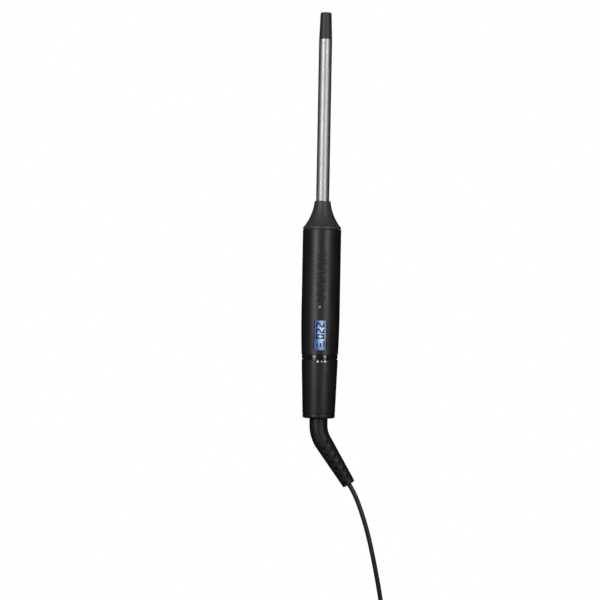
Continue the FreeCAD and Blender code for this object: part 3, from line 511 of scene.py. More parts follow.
def turned(name, outline, steps=128, centre=(0.0, 0.0)):
    """A closed outline of (radius, height above the handle's bottom, fillet) spun about an upright axis."""
    profile = rounded(outline)
    points = []
    rings = []
    for radius, height in profile:
        if radius < 1e-6:
            rings.append([len(points)] * steps)
            points.append((*centre, at(height)))
            continue
        rings.append(range(len(points), len(points) + steps))
        for step in range(steps):
            angle = 2 * math.pi * step / steps
            points.append((centre[0] + radius * math.cos(angle), centre[1] + radius * math.sin(angle),
                           at(height)))
    faces = []
    for index in range(len(profile)):
        ring = rings[index]
        following = rings[(index + 1) % len(profile)]
        for step in range(steps):
            corner = [ring[step], ring[(step + 1) % steps], following[(step + 1) % steps], following[step]]
            face = list(dict.fromkeys(corner))
            if len(face) > 2:
                faces.append(face)
    return mesh_of(name, points, faces)


def stitched(rings, steps):
    """Faces of a tube made of rings of points that follow one another, without its ends."""
    return [(row * steps + step, row * steps + (step + 1) % steps,
             (row + 1) * steps + (step + 1) % steps, (row + 1) * steps + step)
            for row in range(rings - 1) for step in range(steps)]


def capped(rings, steps):
    """Faces of such a tube with both ends closed."""
    last = (rings - 1) * steps
    return stitched(rings, steps) + [list(range(steps)), [last + step for step in reversed(range(steps))]]


def join_meshes(name, meshes):
    """One mesh from several."""
    work = bmesh.new()
    for mesh in meshes:
        work.from_mesh(mesh)
    joined = bpy.data.meshes.new(name)
    work.to_mesh(joined)
    work.free()
    return smoothed(joined)


def applied(piece):
    """The piece's mesh with its modifiers worked out and removed."""
    graph = bpy.context.evaluated_depsgraph_get()
    mesh = bpy.data.meshes.new_from_object(piece.evaluated_get(graph))
    bpy.data.objects.remove(piece)
    return mesh


def node_group(name, numbers, count):
    """An empty geometry tree, and its input node: named numbers, one whole number and a finish."""
    tree = bpy.data.node_groups.new(name, "GeometryNodeTree")
    tree.interface.new_socket("Geometry", in_out="INPUT", socket_type="NodeSocketGeometry")
    kinds = [(label, "Float") for label in numbers] + [(count, "Int"), ("Finish", "Material")]
    for label, kind in kinds:
        tree.interface.new_socket(label, in_out="INPUT", socket_type="NodeSocket" + kind)
    tree.interface.new_socket("Geometry", in_out="OUTPUT", socket_type="NodeSocketGeometry")
    return tree, tree.nodes.new("NodeGroupInput")


def end_group(tree, geometry, material_socket):
    """Ends a geometry tree in Realize Instances and Set Material."""
    real = tree.nodes.new("GeometryNodeRealizeInstances")
    tree.links.new(geometry, real.inputs["Geometry"])
    coat = tree.nodes.new("GeometryNodeSetMaterial")
    tree.links.new(real.outputs["Geometry"], coat.inputs["Geometry"])
    tree.links.new(material_socket, coat.inputs["Material"])
    last = tree.nodes.new("NodeGroupOutput")
    tree.links.new(coat.outputs["Geometry"], last.inputs["Geometry"])


def end_in_push(tree, given, push):
    """Ends a geometry tree that moves the points of the mesh it is given."""
    move = add_node(tree, "GeometryNodeSetPosition", Geometry=given.outputs["Geometry"],
                    Offset=push.outputs["Vector"])
    end_group(tree, move.outputs["Geometry"], given.outputs["Finish"])


def run_group(name, mesh, tree, values):
    """Runs a geometry tree on a mesh, its inputs set by their labels, and returns the plain mesh."""
    worker = bpy.data.objects.new(name + "_worker", mesh)
    bpy.context.scene.collection.objects.link(worker)
    modifier = worker.modifiers.new("nodes", "NODES")
    modifier.node_group = tree
    for item in tree.interface.items_tree:
        if item.item_type == "SOCKET" and item.in_out == "INPUT" and item.name in values:
            modifier[item.identifier] = values[item.name]
    made = applied(worker)
    made.name = name
    return made


# ------------------------------------------------------------------------------------------- stage

class WAND_OT_stage(bpy.types.Operator):
    """Sets up the pale studio bowl, the softboxes and the camera"""
    bl_idname = "wand.stage"
    bl_label = "Studio and camera"

    softbox_reach = 1.2
    softbox_middle = 0.35
    softbox_tall = 1.3
    camera_x, camera_z = -0.0158, -0.0206

    def execute(self, context):
        stage = context.scene.wand_stage
        self.bowl()
        self.world(context.scene)
        for name, azimuth, power, wide in (
                ("softbox_left", -36, stage.key_power, 0.36),
                ("softbox_right", 33, stage.fill_power, 0.30),
                ("softbox_back", 180, stage.back_power, 0.40)):
            self.softbox(name, azimuth, power, wide)
        self.camera(context.scene, stage)
        return {"FINISHED"}

    def bowl(self):
        """A wide pale floor whose edge curves up into a wall all round."""
        low = at(-0.34)
        floor_reach, bend, top = 3.6, 1.6, 4.0
        profile = [(0.0, low), (floor_reach, low)]
        for step in range(1, 13):
            turn = math.pi / 2 * step / 12
            profile.append((floor_reach + bend * math.sin(turn), low + bend * (1 - math.cos(turn))))
        profile += [(floor_reach + bend, top), (0.0, top)]
        steps = 64
        points = []
        for radius, height in profile:
            for step in range(steps):
                angle = 2 * math.pi * step / steps
                points.append((radius * math.cos(angle), radius * math.sin(angle), height))
        faces = [face[::-1] for face in stitched(len(profile), steps)]
        bowl = bpy.data.objects.new("studio_bowl", mesh_of("studio_bowl", points, faces))
        bpy.context.scene.collection.objects.link(bowl)
        material, tree, shader = blank_material("studio_paper", 0.9, Specular_IOR_Level=0.0)
        shader.inputs["Base Color"].default_value = (0.0, 0.0, 0.0, 1)
        shader.inputs["Emission Color"].default_value = (1, 1, 1, 1)
        shader.inputs["Emission Strength"].default_value = 1.0
        bowl.data.materials.append(material)
        bowl.visible_glossy = False
        bowl.visible_diffuse = False
        bowl.visible_transmission = False
        bowl.visible_shadow = False

    def world(self, scene):
        """A dim, even world that lifts the shadows and that glossy surfaces don't mirror."""
        world = bpy.data.worlds.new("studio_world")
        world.use_nodes = True
        scene.world = world
        background = world.node_tree.nodes["Background"]
        background.inputs["Color"].default_value = (1, 1, 1, 1)
        background.inputs["Strength"].default_value = 0.22
        world.cycles_visibility.glossy = False
        world.cycles_visibility.transmission = False

    def softbox(self, name, azimuth, power, wide):
        """An upright strip light that faces the wand; azimuth is in degrees from the camera's side."""
        light = bpy.data.lights.new(name, "AREA")
        light.shape = "RECTANGLE"
        light.size = wide
        light.size_y = self.softbox_tall
        light.energy = power
        lamp = bpy.data.objects.new(name, light)
        turn = math.radians(azimuth)
        lamp.location = (self.softbox_reach * math.sin(turn), -self.softbox_reach * math.cos(turn),
                         self.softbox_middle)
        lamp.rotation_euler = (math.pi / 2, 0, turn)
        lamp.visible_camera = False
        bpy.context.scene.collection.objects.link(lamp)

    def camera(self, scene, stage):
        """A camera level with the wand, rolled so that the wand leans."""
        camera = bpy.data.cameras.new("camera")
        camera.sensor_width = 36
        camera.lens = 18 / (stage.view_width / 2 / stage.camera_distance)
        camera.clip_end = 50
        eye = bpy.data.objects.new("camera", camera)
        place = Vector((self.camera_x, -stage.camera_distance, self.camera_z))
        eye.matrix_world = (Matrix.Translation(place) @ Matrix.Rotation(math.pi / 2, 4, "X")
                            @ Matrix.Rotation(stage.lean, 4, "Z"))
        scene.collection.objects.link(eye)
        scene.camera = eye
        scene.view_settings.view_transform = "Standard"


# --------------------------------------------------------------------------------------- the cord

class Hank:
    """The folded cord's outline: two large end arcs joined by two hollow side arcs."""

    def __init__(self):
        low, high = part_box("cord_hank")
        self.x = (low.x + high.x) / 2
        self.y = (low.y + high.y) / 2
        self.z = (low.z + high.z) / 2
        self.pitch = 3.6 * MM
        self.inner = 10.8 * MM
        self.half_span = 22.0 * MM
        self.side_centre = 22.39 * MM
        self.slope = math.atan2(self.half_span, self.side_centre)

    def spot(self, phase, fold, depth):
        """A control point of the cord's line; phase runs from 0 to 24 in each turn."""
        phase = phase % 24
        step = self.slope / 1.5
        lift = 0.75 + 0.25 * math.cos(step)
        end = fold / lift
        side = (math.hypot(self.half_span, self.side_centre) - fold) / lift
        if phase < 1.5 or phase > 16.5:
            angle = -phase * step if phase < 1.5 else (24 - phase) * (math.pi + self.slope) / 7.5
            x, z = end * math.cos(angle), self.half_span + end * math.sin(angle)
        elif phase <= 4.5:
            angle = (3 - phase) * step
            x, z = self.side_centre - side * math.cos(angle), side * math.sin(angle)
        elif phase < 13.5:
            angle = self.slope - (phase - 4.5) * (math.pi + 2 * self.slope) / 9
            x, z = end * math.cos(angle), -self.half_span + end * math.sin(angle)
        else:
            angle = (phase - 15) * step
            x, z = -self.side_centre + side * math.cos(angle), side * math.sin(angle)
        return self.x + x, self.y + depth, self.z + z

    def turns(self, inner_turns, outer_turns):
        """The inner row of turns from front to back, then the outer row over it, and the way out."""
        points = []
        last_inner = 24 * inner_turns
        last_outer = last_inner + 24 * outer_turns
        edge = 2.5 * self.pitch
        for phase in range(1, last_outer + 1):
            if phase <= last_inner:
                depth = edge - 2 * edge * phase / last_inner
            else:
                depth = -edge + self.pitch * (phase - last_inner) / 24
            over = min(1.0, max(0.0, (phase - last_inner + 6) / 6))
            points.append(self.spot(phase, self.inner + self.pitch * over, depth))
        end_depth = -edge + self.pitch * outer_turns
        for phase in range(1, 6):
            depth = end_depth + (2 * self.pitch - end_depth) * phase / 6
            points.append(self.spot(phase, self.inner + self.pitch, depth))
        x = self.x + self.inner + self.pitch
        y = self.y + 2 * self.pitch
        for height in (-217, -226, -236, -246):
            points.append((x, y, at(height * MM)))
        return points


class WAND_OT_cord(bpy.types.Operator):
    """Makes the cord: out of the boot, down, and folded into its tied hank"""
    bl_idname = "wand.cord"
    bl_label = "Cord"

    def execute(self, context):
        sizes = context.scene.wand_sizes
        curve = bpy.data.curves.new("mains_cord", "CURVE")
        curve.dimensions = "3D"
        points = [(x, y, at(height)) for x, y, height in CORD_ROUTE]
        points += Hank().turns(sizes.inner_turns, sizes.outer_turns)
        spline = curve.splines.new("NURBS")
        spline.points.add(len(points) - 1)
        for place, point in zip(spline.points, points):
            place.co = (*point, 1)
        spline.order_u = 3
        spline.use_endpoint_u = True
        spline.resolution_u = 6
        curve.bevel_depth = sizes.cord_diameter / 2
        curve.bevel_resolution = 5
        curve.use_fill_caps = True
        cord = new_piece("mains_cord", curve, "cord", "cord_swivel", "cord_black",
                         "cord", "cord_hank", "plug_lead")
        start = CORD_ROUTE[0]
        at(start[2])
        return {"FINISHED"}


class WAND_OT_strap(bpy.types.Operator):
    """Makes the woven strap that ties the hank"""
    bl_idname = "wand.strap"
    bl_label = "Hank strap"

    def execute(self, context):
        low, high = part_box("hank_tie")
        middle = (low + high) / 2
        thick = 1.2 * MM
        half = Vector((high.x - low.x, high.y - low.y)) / 2
        points, faces = [], []
        self.band(points, faces, middle, half, thick, (high.z - low.z) / 2, 0.0, 1.0)
        self.band(points, faces, middle, half + Vector((thick, thick)) * 0.98, thick,
                  (high.z - low.z) / 2 - 0.15 * MM, 0.60, 0.90)
        mesh = mesh_of("hank_strap", points, faces, math.radians(50))
        new_piece("hank_strap", mesh, "strap", "cord_swivel", "tie_black", "hank_tie")
        return {"FINISHED"}

    def around(self, half, share):
        """A place on a rounded oblong, and the way out from it, for a share of its way round."""
        corner = 3.2 * MM
        flat_x, flat_y = half.x - corner, half.y - corner
        bend = corner * math.pi / 2
        runs = [2 * flat_y, bend, 2 * flat_x, bend] * 2
        run = (share % 1.0) * sum(runs)
        place = 0
        while run > runs[place]:
            run -= runs[place]
            place += 1
        quarter = place // 2
        turn = quarter * math.pi / 2
        if place % 2:
            extra = run / corner
            out = Vector((math.cos(extra), math.sin(extra)))
            spot = Vector((flat_y, flat_x) if quarter % 2 else (flat_x, flat_y)) + out * corner
        else:
            spot = Vector((half.x, run - flat_y))
            if quarter % 2:
                spot = Vector((half.y, run - flat_x))
            out = Vector((1, 0))
        spin = Matrix.Rotation(turn, 2)
        return spin @ spot, spin @ out

    def band(self, points, faces, middle, half, thick, tall, start, end):
        """One layer of strap with soft edges, from one share of the way round to another."""
        closed = end - start > 0.999
        steps = 120 if closed else 44
        soft = 0.3 * MM
        section = [(0, -tall + soft), (soft, -tall), (thick - soft, -tall), (thick, -tall + soft),
                   (thick, tall - soft), (thick - soft, tall), (soft, tall), (0, tall - soft)]
        base = len(points)
        rings = steps if closed else steps + 1
        for step in range(rings):
            spot, out = self.around(half, start + (end - start) * step / steps)
            for inward, height in section:
                place = spot - out * inward
                points.append((middle.x + place.x, middle.y + place.y, middle.z + height))
        count = len(section)
        for step in range(steps):
            first = base + step * count
            second = base + ((step + 1) % rings) * count
            for side in range(count):
                following = (side + 1) % count
                faces.append((first + side, second + side, second + following, first + following))
        if not closed:
            faces.append([base + side for side in range(count)])
            faces.append([base + (rings - 1) * count + side for side in reversed(range(count))])


# ---------------------------------------------------------------------------------------- the plug

class WAND_OT_plug(bpy.types.Operator):
    """Makes the flat two-pin plug: its moulded body, neck ribs, pins and their sleeves"""
    bl_idname = "wand.plug"
    bl_label = "Plug"

    def execute(self, context):
        sizes = context.scene.wand_sizes
        low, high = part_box("plug_body")
        self.x, self.y = (low.x + high.x) / 2, (low.y + high.y) / 2
        self.shell(low, high)
        self.ribs(high.z, sizes.plug_ribs)
        self.pins(low.z)
        return {"FINISHED"}

    def shell(self, low, high):
        """Sections that run from a round neck through sloping shoulders to a flat rounded oblong."""
        half_width = (high.x - low.x) / 2
        half_thick = (high.y - low.y) / 2
        neck = 3.6 * MM
        top = high.z
        sections = [
            (top, neck - 0.9 * MM, neck - 0.9 * MM, 2.0),
            (top - 0.3 * MM, neck - 0.25 * MM, neck - 0.25 * MM, 2.0),
            (top - 1.0 * MM, neck, neck, 2.0), (top - 10 * MM, neck + 0.7 * MM, neck + 0.7 * MM, 2.0),
            (top - 18 * MM, neck + 1.5 * MM, neck + 1.5 * MM, 2.0),
            (top - 21 * MM, neck + 2.9 * MM, neck + 2.3 * MM, 2.2),
            (top - 23 * MM, 9.0 * MM, 6.2 * MM, 2.6), (top - 26 * MM, 11.6 * MM, half_thick * 0.965, 3.0),
            (top - 31 * MM, 14.3 * MM, half_thick, 3.6), (top - 36 * MM, 16.6 * MM, half_thick, 4.2),
            (top - 39 * MM, half_width, half_thick, 4.6), (low.z + 2.0 * MM, half_width, half_thick, 4.8),
            (low.z + 0.6 * MM, half_width - 0.35 * MM, half_thick - 0.35 * MM, 4.8),
            (low.z, half_width - 1.3 * MM, half_thick - 1.3 * MM, 4.6),
        ]
        steps = 96
        points = []
        smooth = []
        for first, second in zip(sections, sections[1:]):
            parts = max(1, round((first[0] - second[0]) / (1.0 * MM)))
            for part in range(parts):
                share = part / parts
                smooth.append([a + (b - a) * share for a, b in zip(first, second)])
        smooth.append(sections[-1])
        for height, wide, thick, power in smooth:
            for step in range(steps):
                angle = 2 * math.pi * step / steps
                across, along = math.cos(angle), math.sin(angle)
                x = math.copysign(abs(across) ** (2 / power), across) * wide
                y = math.copysign(abs(along) ** (2 / power), along) * thick
                points.append((self.x + x, self.y + y, height))
        mesh = mesh_of("plug_shell", points, capped(len(smooth), steps), math.radians(50))
        new_piece("plug_shell", mesh, "plug", "cord_swivel", "plug_black", "plug_body")

    def ribs(self, top, count):
        """Raised rings down the neck, each larger than the one above it."""
        tree, given = node_group("neck_ribs", ("Step", "Growth"), "Count")
        line = tree.nodes.new("GeometryNodeMeshLine")
        put(tree, line.inputs["Count"], given.outputs["Count"])
        offset = tree.nodes.new("ShaderNodeCombineXYZ")
        tree.links.new((Term(tree, given.outputs["Step"]) * -1.0).socket, offset.inputs["Z"])
        tree.links.new(offset.outputs["Vector"], line.inputs["Offset"])
        index = tree.nodes.new("GeometryNodeInputIndex")
        grown = Term(tree, index.outputs["Index"]) * given.outputs["Growth"] + 1.0
        scale = tree.nodes.new("ShaderNodeCombineXYZ")
        put(tree, scale.inputs["X"], grown)
        put(tree, scale.inputs["Y"], grown)
        put(tree, scale.inputs["Z"], 1.0)
        place = tree.nodes.new("GeometryNodeInstanceOnPoints")
        tree.links.new(line.outputs["Mesh"], place.inputs["Points"])
        tree.links.new(given.outputs["Geometry"], place.inputs["Instance"])
        tree.links.new(scale.outputs["Vector"], place.inputs["Scale"])
        move = tree.nodes.new("GeometryNodeTransform")
        tree.links.new(place.outputs["Instances"], move.inputs["Geometry"])
        put(tree, move.inputs["Translation"], (self.x, self.y, top - 3.0 * MM))
        end_group(tree, move.outputs["Geometry"], given.outputs["Finish"])
        ring = []
        faces = []
        steps, round_steps = 64, 10
        for step in range(steps):
            angle = 2 * math.pi * step / steps
            for turn in range(round_steps):
                around = 2 * math.pi * turn / round_steps
                reach = 3.65 * MM + 0.75 * MM * math.cos(around)
                ring.append((reach * math.cos(angle), reach * math.sin(angle), 0.75 * MM * math.sin(around)))
                faces.append((step * round_steps + turn, (step + 1) % steps * round_steps + turn,
                              (step + 1) % steps * round_steps + (turn + 1) % round_steps,
                              step * round_steps + (turn + 1) % round_steps))
        mesh = run_group("plug_ribs", mesh_of("plug_rib", ring, faces), tree,
                         {"Count": count, "Step": 2.5 * MM, "Growth": 0.055, "Finish": MATERIALS["plug"]})
        new_piece("plug_ribs", smoothed(tidy(mesh)), None, "cord_swivel", "plug_black")

    def pins(self, face):
        """The two pins and their sleeves; face is where they leave the body."""
        spacing = MOUNTS["plug_pins"]["dims"]["pcd_mm"] * MM
        radius = MOUNTS["plug_pins"]["dims"]["stud_r_mm"] * MM
        high = face - HANDLE_FOOT
        pins = join_meshes("plug_pin_pair", [
            turned("pin", [(0, high + 8 * MM, 0), (0, high - 19 * MM, 0), (radius, high - 19 * MM, 1.5 * MM),
                           (radius, high - 10 * MM, 0.1 * MM), (1.5 * MM, high - 10 * MM, 0),
                           (1.5 * MM, high + 8 * MM, 0)], 64, (self.x + side * spacing / 2, self.y))
            for side in (-1, 1)])
        new_piece("plug_pin_pair", pins, "nickel", "cord_swivel", "pin_nickel", "plug_pins")
        collars = join_meshes("plug_pin_collars", [
            turned("collar", [(1.5 * MM, high, 0), (1.5 * MM, high - 10 * MM, 0),
                              (1.8 * MM, high - 10 * MM, 0.15 * MM), (1.8 * MM, high, 0)],
                   64, (self.x + side * spacing / 2, self.y))
            for side in (-1, 1)])
        new_piece("plug_pin_collars", collars, "plug", "cord_swivel", "plug_black", "plug_pin_sleeves")


# ---------------------------------------------------------------------------------------- the boot

class WAND_OT_boot(bpy.types.Operator):
    """Makes the bent strain relief boot with its staggered lozenge pits"""
    bl_idname = "wand.boot"
    bl_label = "Cord boot"

    corner = 12.3 * MM
    bend = 25.0 * MM
    angle = math.radians(32.6)
    leg = 44.7 * MM
    wide = 6.9 * MM
    narrow = 4.98 * MM

    def execute(self, context):
        sizes = context.scene.wand_sizes
        mesh = self.skin()
        tree = self.pit_tree()
        made = run_group("cord_boot_skin", mesh, tree, {
            "Depth": sizes.pit_depth, "Pitch": sizes.pit_pitch, "Length": sizes.pit_length,
            "Width": sizes.pit_width, "Columns": sizes.pit_columns, "Finish": MATERIALS["boot"]})
        for name in ("along", "turn", "reach", "inward"):
            made.attributes.remove(made.attributes[name])
        new_piece("cord_boot_skin", smoothed(tidy(made), math.radians(60)), None, "cord_swivel",
                  "boot_rubber", "cord_boot")
        return {"FINISHED"}

    def frame_at(self, run):
        """The centreline's place and direction at a distance below the handle's bottom."""
        tangent = self.bend * math.tan(self.angle / 2)
        straight = self.corner - tangent
        arc = self.bend * self.angle
        if run < straight:
            return Vector((0, 0, at(-run))), Vector((0, 0, -1))
        if run < straight + arc:
            turn = (run - straight) / self.bend
            place = Vector((self.bend * (1 - math.cos(turn)), 0, at(-straight) - self.bend * math.sin(turn)))
            return place, Vector((math.sin(turn), 0, -math.cos(turn)))
        away = Vector((math.sin(self.angle), 0, -math.cos(self.angle)))
        start = Vector((0, 0, at(-self.corner)))
        return start + away * (tangent + run - straight - arc), away

    def skin(self):
        """The boot as rings along its bent centreline, noting for each point what the pits need."""
        tangent = self.bend * math.tan(self.angle / 2)
        straight = self.corner - tangent
        whole = straight + self.bend * self.angle + self.leg - tangent
        taper_from = straight + self.bend * self.angle
        top = 0.3 * MM
        steps, rows = 160, 300
        points, along, turns, reaches, inwards = [], [], [], [], []
        rims = [(top, -1.9 * MM), (top, -0.5 * MM), (top + 0.13 * MM, -0.13 * MM), (top + 0.5 * MM, 0.0)]
        stations = list(rims)
        first, last = top + 0.5 * MM, whole - 0.7 * MM
        stations += [(first + (last - first) * row / rows, 0.0) for row in range(1, rows + 1)]
        stations += [(whole - 0.35 * MM, -0.09 * MM), (whole - 0.1 * MM, -0.35 * MM), (whole, -0.8 * MM),
                     (whole, -2.9 * MM)]
        for run, inset in stations:
            place, way = self.frame_at(run)
            side = Vector((0, 1, 0))
            across = side.cross(way)
            share = max(0.0, (run - taper_from) / (whole - taper_from))
            reach = self.wide + (self.narrow - self.wide) * share + inset
            from_corner = run - straight - self.bend * self.angle + tangent
            for step in range(steps):
                turn = 2 * math.pi * step / steps
                out = across * math.cos(turn) - side * math.sin(turn)
                points.append(place + out * reach)
                along.append(from_corner)
                turns.append(turn / (2 * math.pi))
                reaches.append(reach if inset == 0.0 else 0.0)
                inwards.append(-out)
        mesh = bpy.data.meshes.new("boot_skin")
        mesh.from_pydata([tuple(point) for point in points], [], capped(len(stations), steps))
        for name, values in (("along", along), ("turn", turns), ("reach", reaches)):
            mesh.attributes.new(name, "FLOAT", "POINT").data.foreach_set("value", values)
        flat = [part for inward in inwards for part in inward]
        mesh.attributes.new("inward", "FLOAT_VECTOR", "POINT").data.foreach_set("vector", flat)
        return mesh

    def pit_tree(self):
        """Sinks a lozenge at every crossing of a column and a row, every other column half a pitch on."""
        tree, given = node_group("boot_pits", ("Depth", "Pitch", "Length", "Width"), "Columns")

        def named(name, kind="FLOAT"):
            """Reads a value that skin() noted for each point."""
            read = tree.nodes.new("GeometryNodeInputNamedAttribute")
            read.data_type = kind
            read.inputs["Name"].default_value = name
            return read.outputs["Attribute"]

        columns = Term(tree, given.outputs["Columns"])
        pitch = given.outputs["Pitch"]
        place = Term(tree, named("turn")) * columns
        column = place.do("FLOOR")
        aside = place - column - 0.5
        reach = Term(tree, named("reach"))
        around = aside / columns * (2 * math.pi) * reach
        odd = (column * 0.5).do("FRACT") * 2.0
        run = (Term(tree, named("along")) - 5.4 * MM) / pitch - odd * 0.5
        row = run.do("FLOOR")
        ahead = (run - row - 0.5) * pitch
        lozenge = around.size() / given.outputs["Width"] * 2.0 + ahead.size() / given.outputs["Length"] * 2.0
        edge = tree.nodes.new("ShaderNodeMapRange")
        edge.interpolation_type = "SMOOTHSTEP"
        put(tree, edge.inputs["Value"], lozenge)
        put(tree, edge.inputs["From Min"], 1.0)
        put(tree, edge.inputs["From Max"], 0.62)
        live = row.do("GREATER_THAN", -0.5) * row.below(5.5)
        on_skin = reach.do("GREATER_THAN", 0.001)
        sink = Term(tree, edge.outputs["Result"]) * live * on_skin * given.outputs["Depth"]
        push = tree.nodes.new("ShaderNodeVectorMath")
        push.operation = "SCALE"
        tree.links.new(named("inward", "FLOAT_VECTOR"), push.inputs[0])
        tree.links.new(sink.socket, push.inputs["Scale"])
        end_in_push(tree, given, push)
        return tree


# ------------------------------------------------------------------------- barrel, tip and collar

class WAND_OT_barrel(bpy.types.Operator):
    """Makes the slim satin barrel and its cool tip"""
    bl_idname = "wand.barrel"
    bl_label = "Barrel and tip"

    def execute(self, context):
        low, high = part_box("barrel_tube")
        foot, top = low.z - HANDLE_FOOT, high.z - HANDLE_FOOT
        bore = BARREL_RADIUS - 0.7 * MM
        narrow = BARREL_RADIUS - 0.2 * MM
        barrel = turned("barrel_skin", [
            (bore, top, 0), (bore, foot, 0), (narrow, foot, 0.1 * MM),
            (narrow, COLLAR_HIGH - 1 * MM, 0.1 * MM),
            (BARREL_RADIUS, COLLAR_HIGH, 0.1 * MM), (BARREL_RADIUS, top, 0.12 * MM)], 160)
        new_piece("barrel_skin", barrel, "barrel", "handle", "barrel_coat", "barrel_tube")
        foot_radius, top_radius = 4.95 * MM, 4.2 * MM
        stem = 6.4 * MM
        tip = turned("tip_skin", [
            (0, TIP_HIGH, 0), (0, top - stem, 0), (bore - 0.05 * MM, top - stem, 0.3 * MM),
            (bore - 0.05 * MM, top, 0),
            (foot_radius, top, 0.18 * MM), (top_radius, TIP_HIGH - 0.25 * MM, 1.0 * MM)], 160)
        new_piece("tip_skin", tip, "tip", "handle", "tip_black", "cool_tip")
        return {"FINISHED"}


class WAND_OT_collar(bpy.types.Operator):
    """Makes the flared collar between the casing and the barrel"""
    bl_idname = "wand.collar"
    bl_label = "Collar"

    def execute(self, context):
        lip, lip_radius = 145.2 * MM, 14.5 * MM
        seat, neck = 143.4 * MM, 6.15 * MM
        flare = self.flare((lip_radius - 0.5 * MM, lip + 0.1 * MM), (neck, COLLAR_HIGH - 0.5 * MM), 37.0 * MM)
        outline = [
            (5.05 * MM, COLLAR_HIGH, 0.15 * MM), (5.05 * MM, COLLAR_HIGH - 7 * MM, 0),
            (6.55 * MM, COLLAR_HIGH - 8 * MM, 0), (9.3 * MM, 151.5 * MM, 0), (11.0 * MM, 147.0 * MM, 0),
            (11.0 * MM, 138.0 * MM, 0), (SHELL_BORE - 0.2 * MM, 138.0 * MM, 0),
            (SHELL_BORE - 0.2 * MM, seat, 0),
            (lip_radius, seat, 0.3 * MM), (lip_radius, lip + 0.05 * MM, 0.35 * MM)]
        outline += [(radius, height, 0) for radius, height in flare]
        outline += [(neck, COLLAR_HIGH, 0.45 * MM)]
        new_piece("collar_skin", turned("collar_skin", outline, 160), "collar", "handle", "soft_touch_black",
                  "collar")
        return {"FINISHED"}

    def flare(self, start, end, radius):
        """A hollow arc from one (radius, height) point to another."""
        first, last = Vector(start), Vector(end)
        middle = (first + last) / 2
        half = (last - first).length / 2
        along = (last - first).normalized()
        outward = Vector((along.y, -along.x))
        centre = middle + outward * math.sqrt(radius ** 2 - half ** 2)
        start_angle = math.atan2(*(first - centre).yx)
        end_angle = math.atan2(*(last - centre).yx)
        turn = (end_angle - start_angle + math.pi) % (2 * math.pi) - math.pi
        steps = 48
        angles = [start_angle + turn * step / steps for step in range(steps + 1)]
        return [(centre.x + radius * math.cos(angle), centre.y + radius * math.sin(angle))
                for angle in angles]


# ------------------------------------------------------------------------------------- the casing

def skin_radius(height):
    """The casing's outside radius: straight above, and drawn in a little towards its foot."""
    if height >= SHELL_STRAIGHT_FROM:
        return SHELL_RADIUS
    return SHELL_RADIUS - (SHELL_STRAIGHT_FROM - height) ** 2 / (2 * SHELL_FOOT_CURVE)


def window_reach():
    """The window's half width, and its bottom and top, above the handle's bottom."""
    low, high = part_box("display_window")
    return high.x + WINDOW_GAP, low.z - HANDLE_FOOT - WINDOW_GAP, high.z - HANDLE_FOOT + WINDOW_GAP


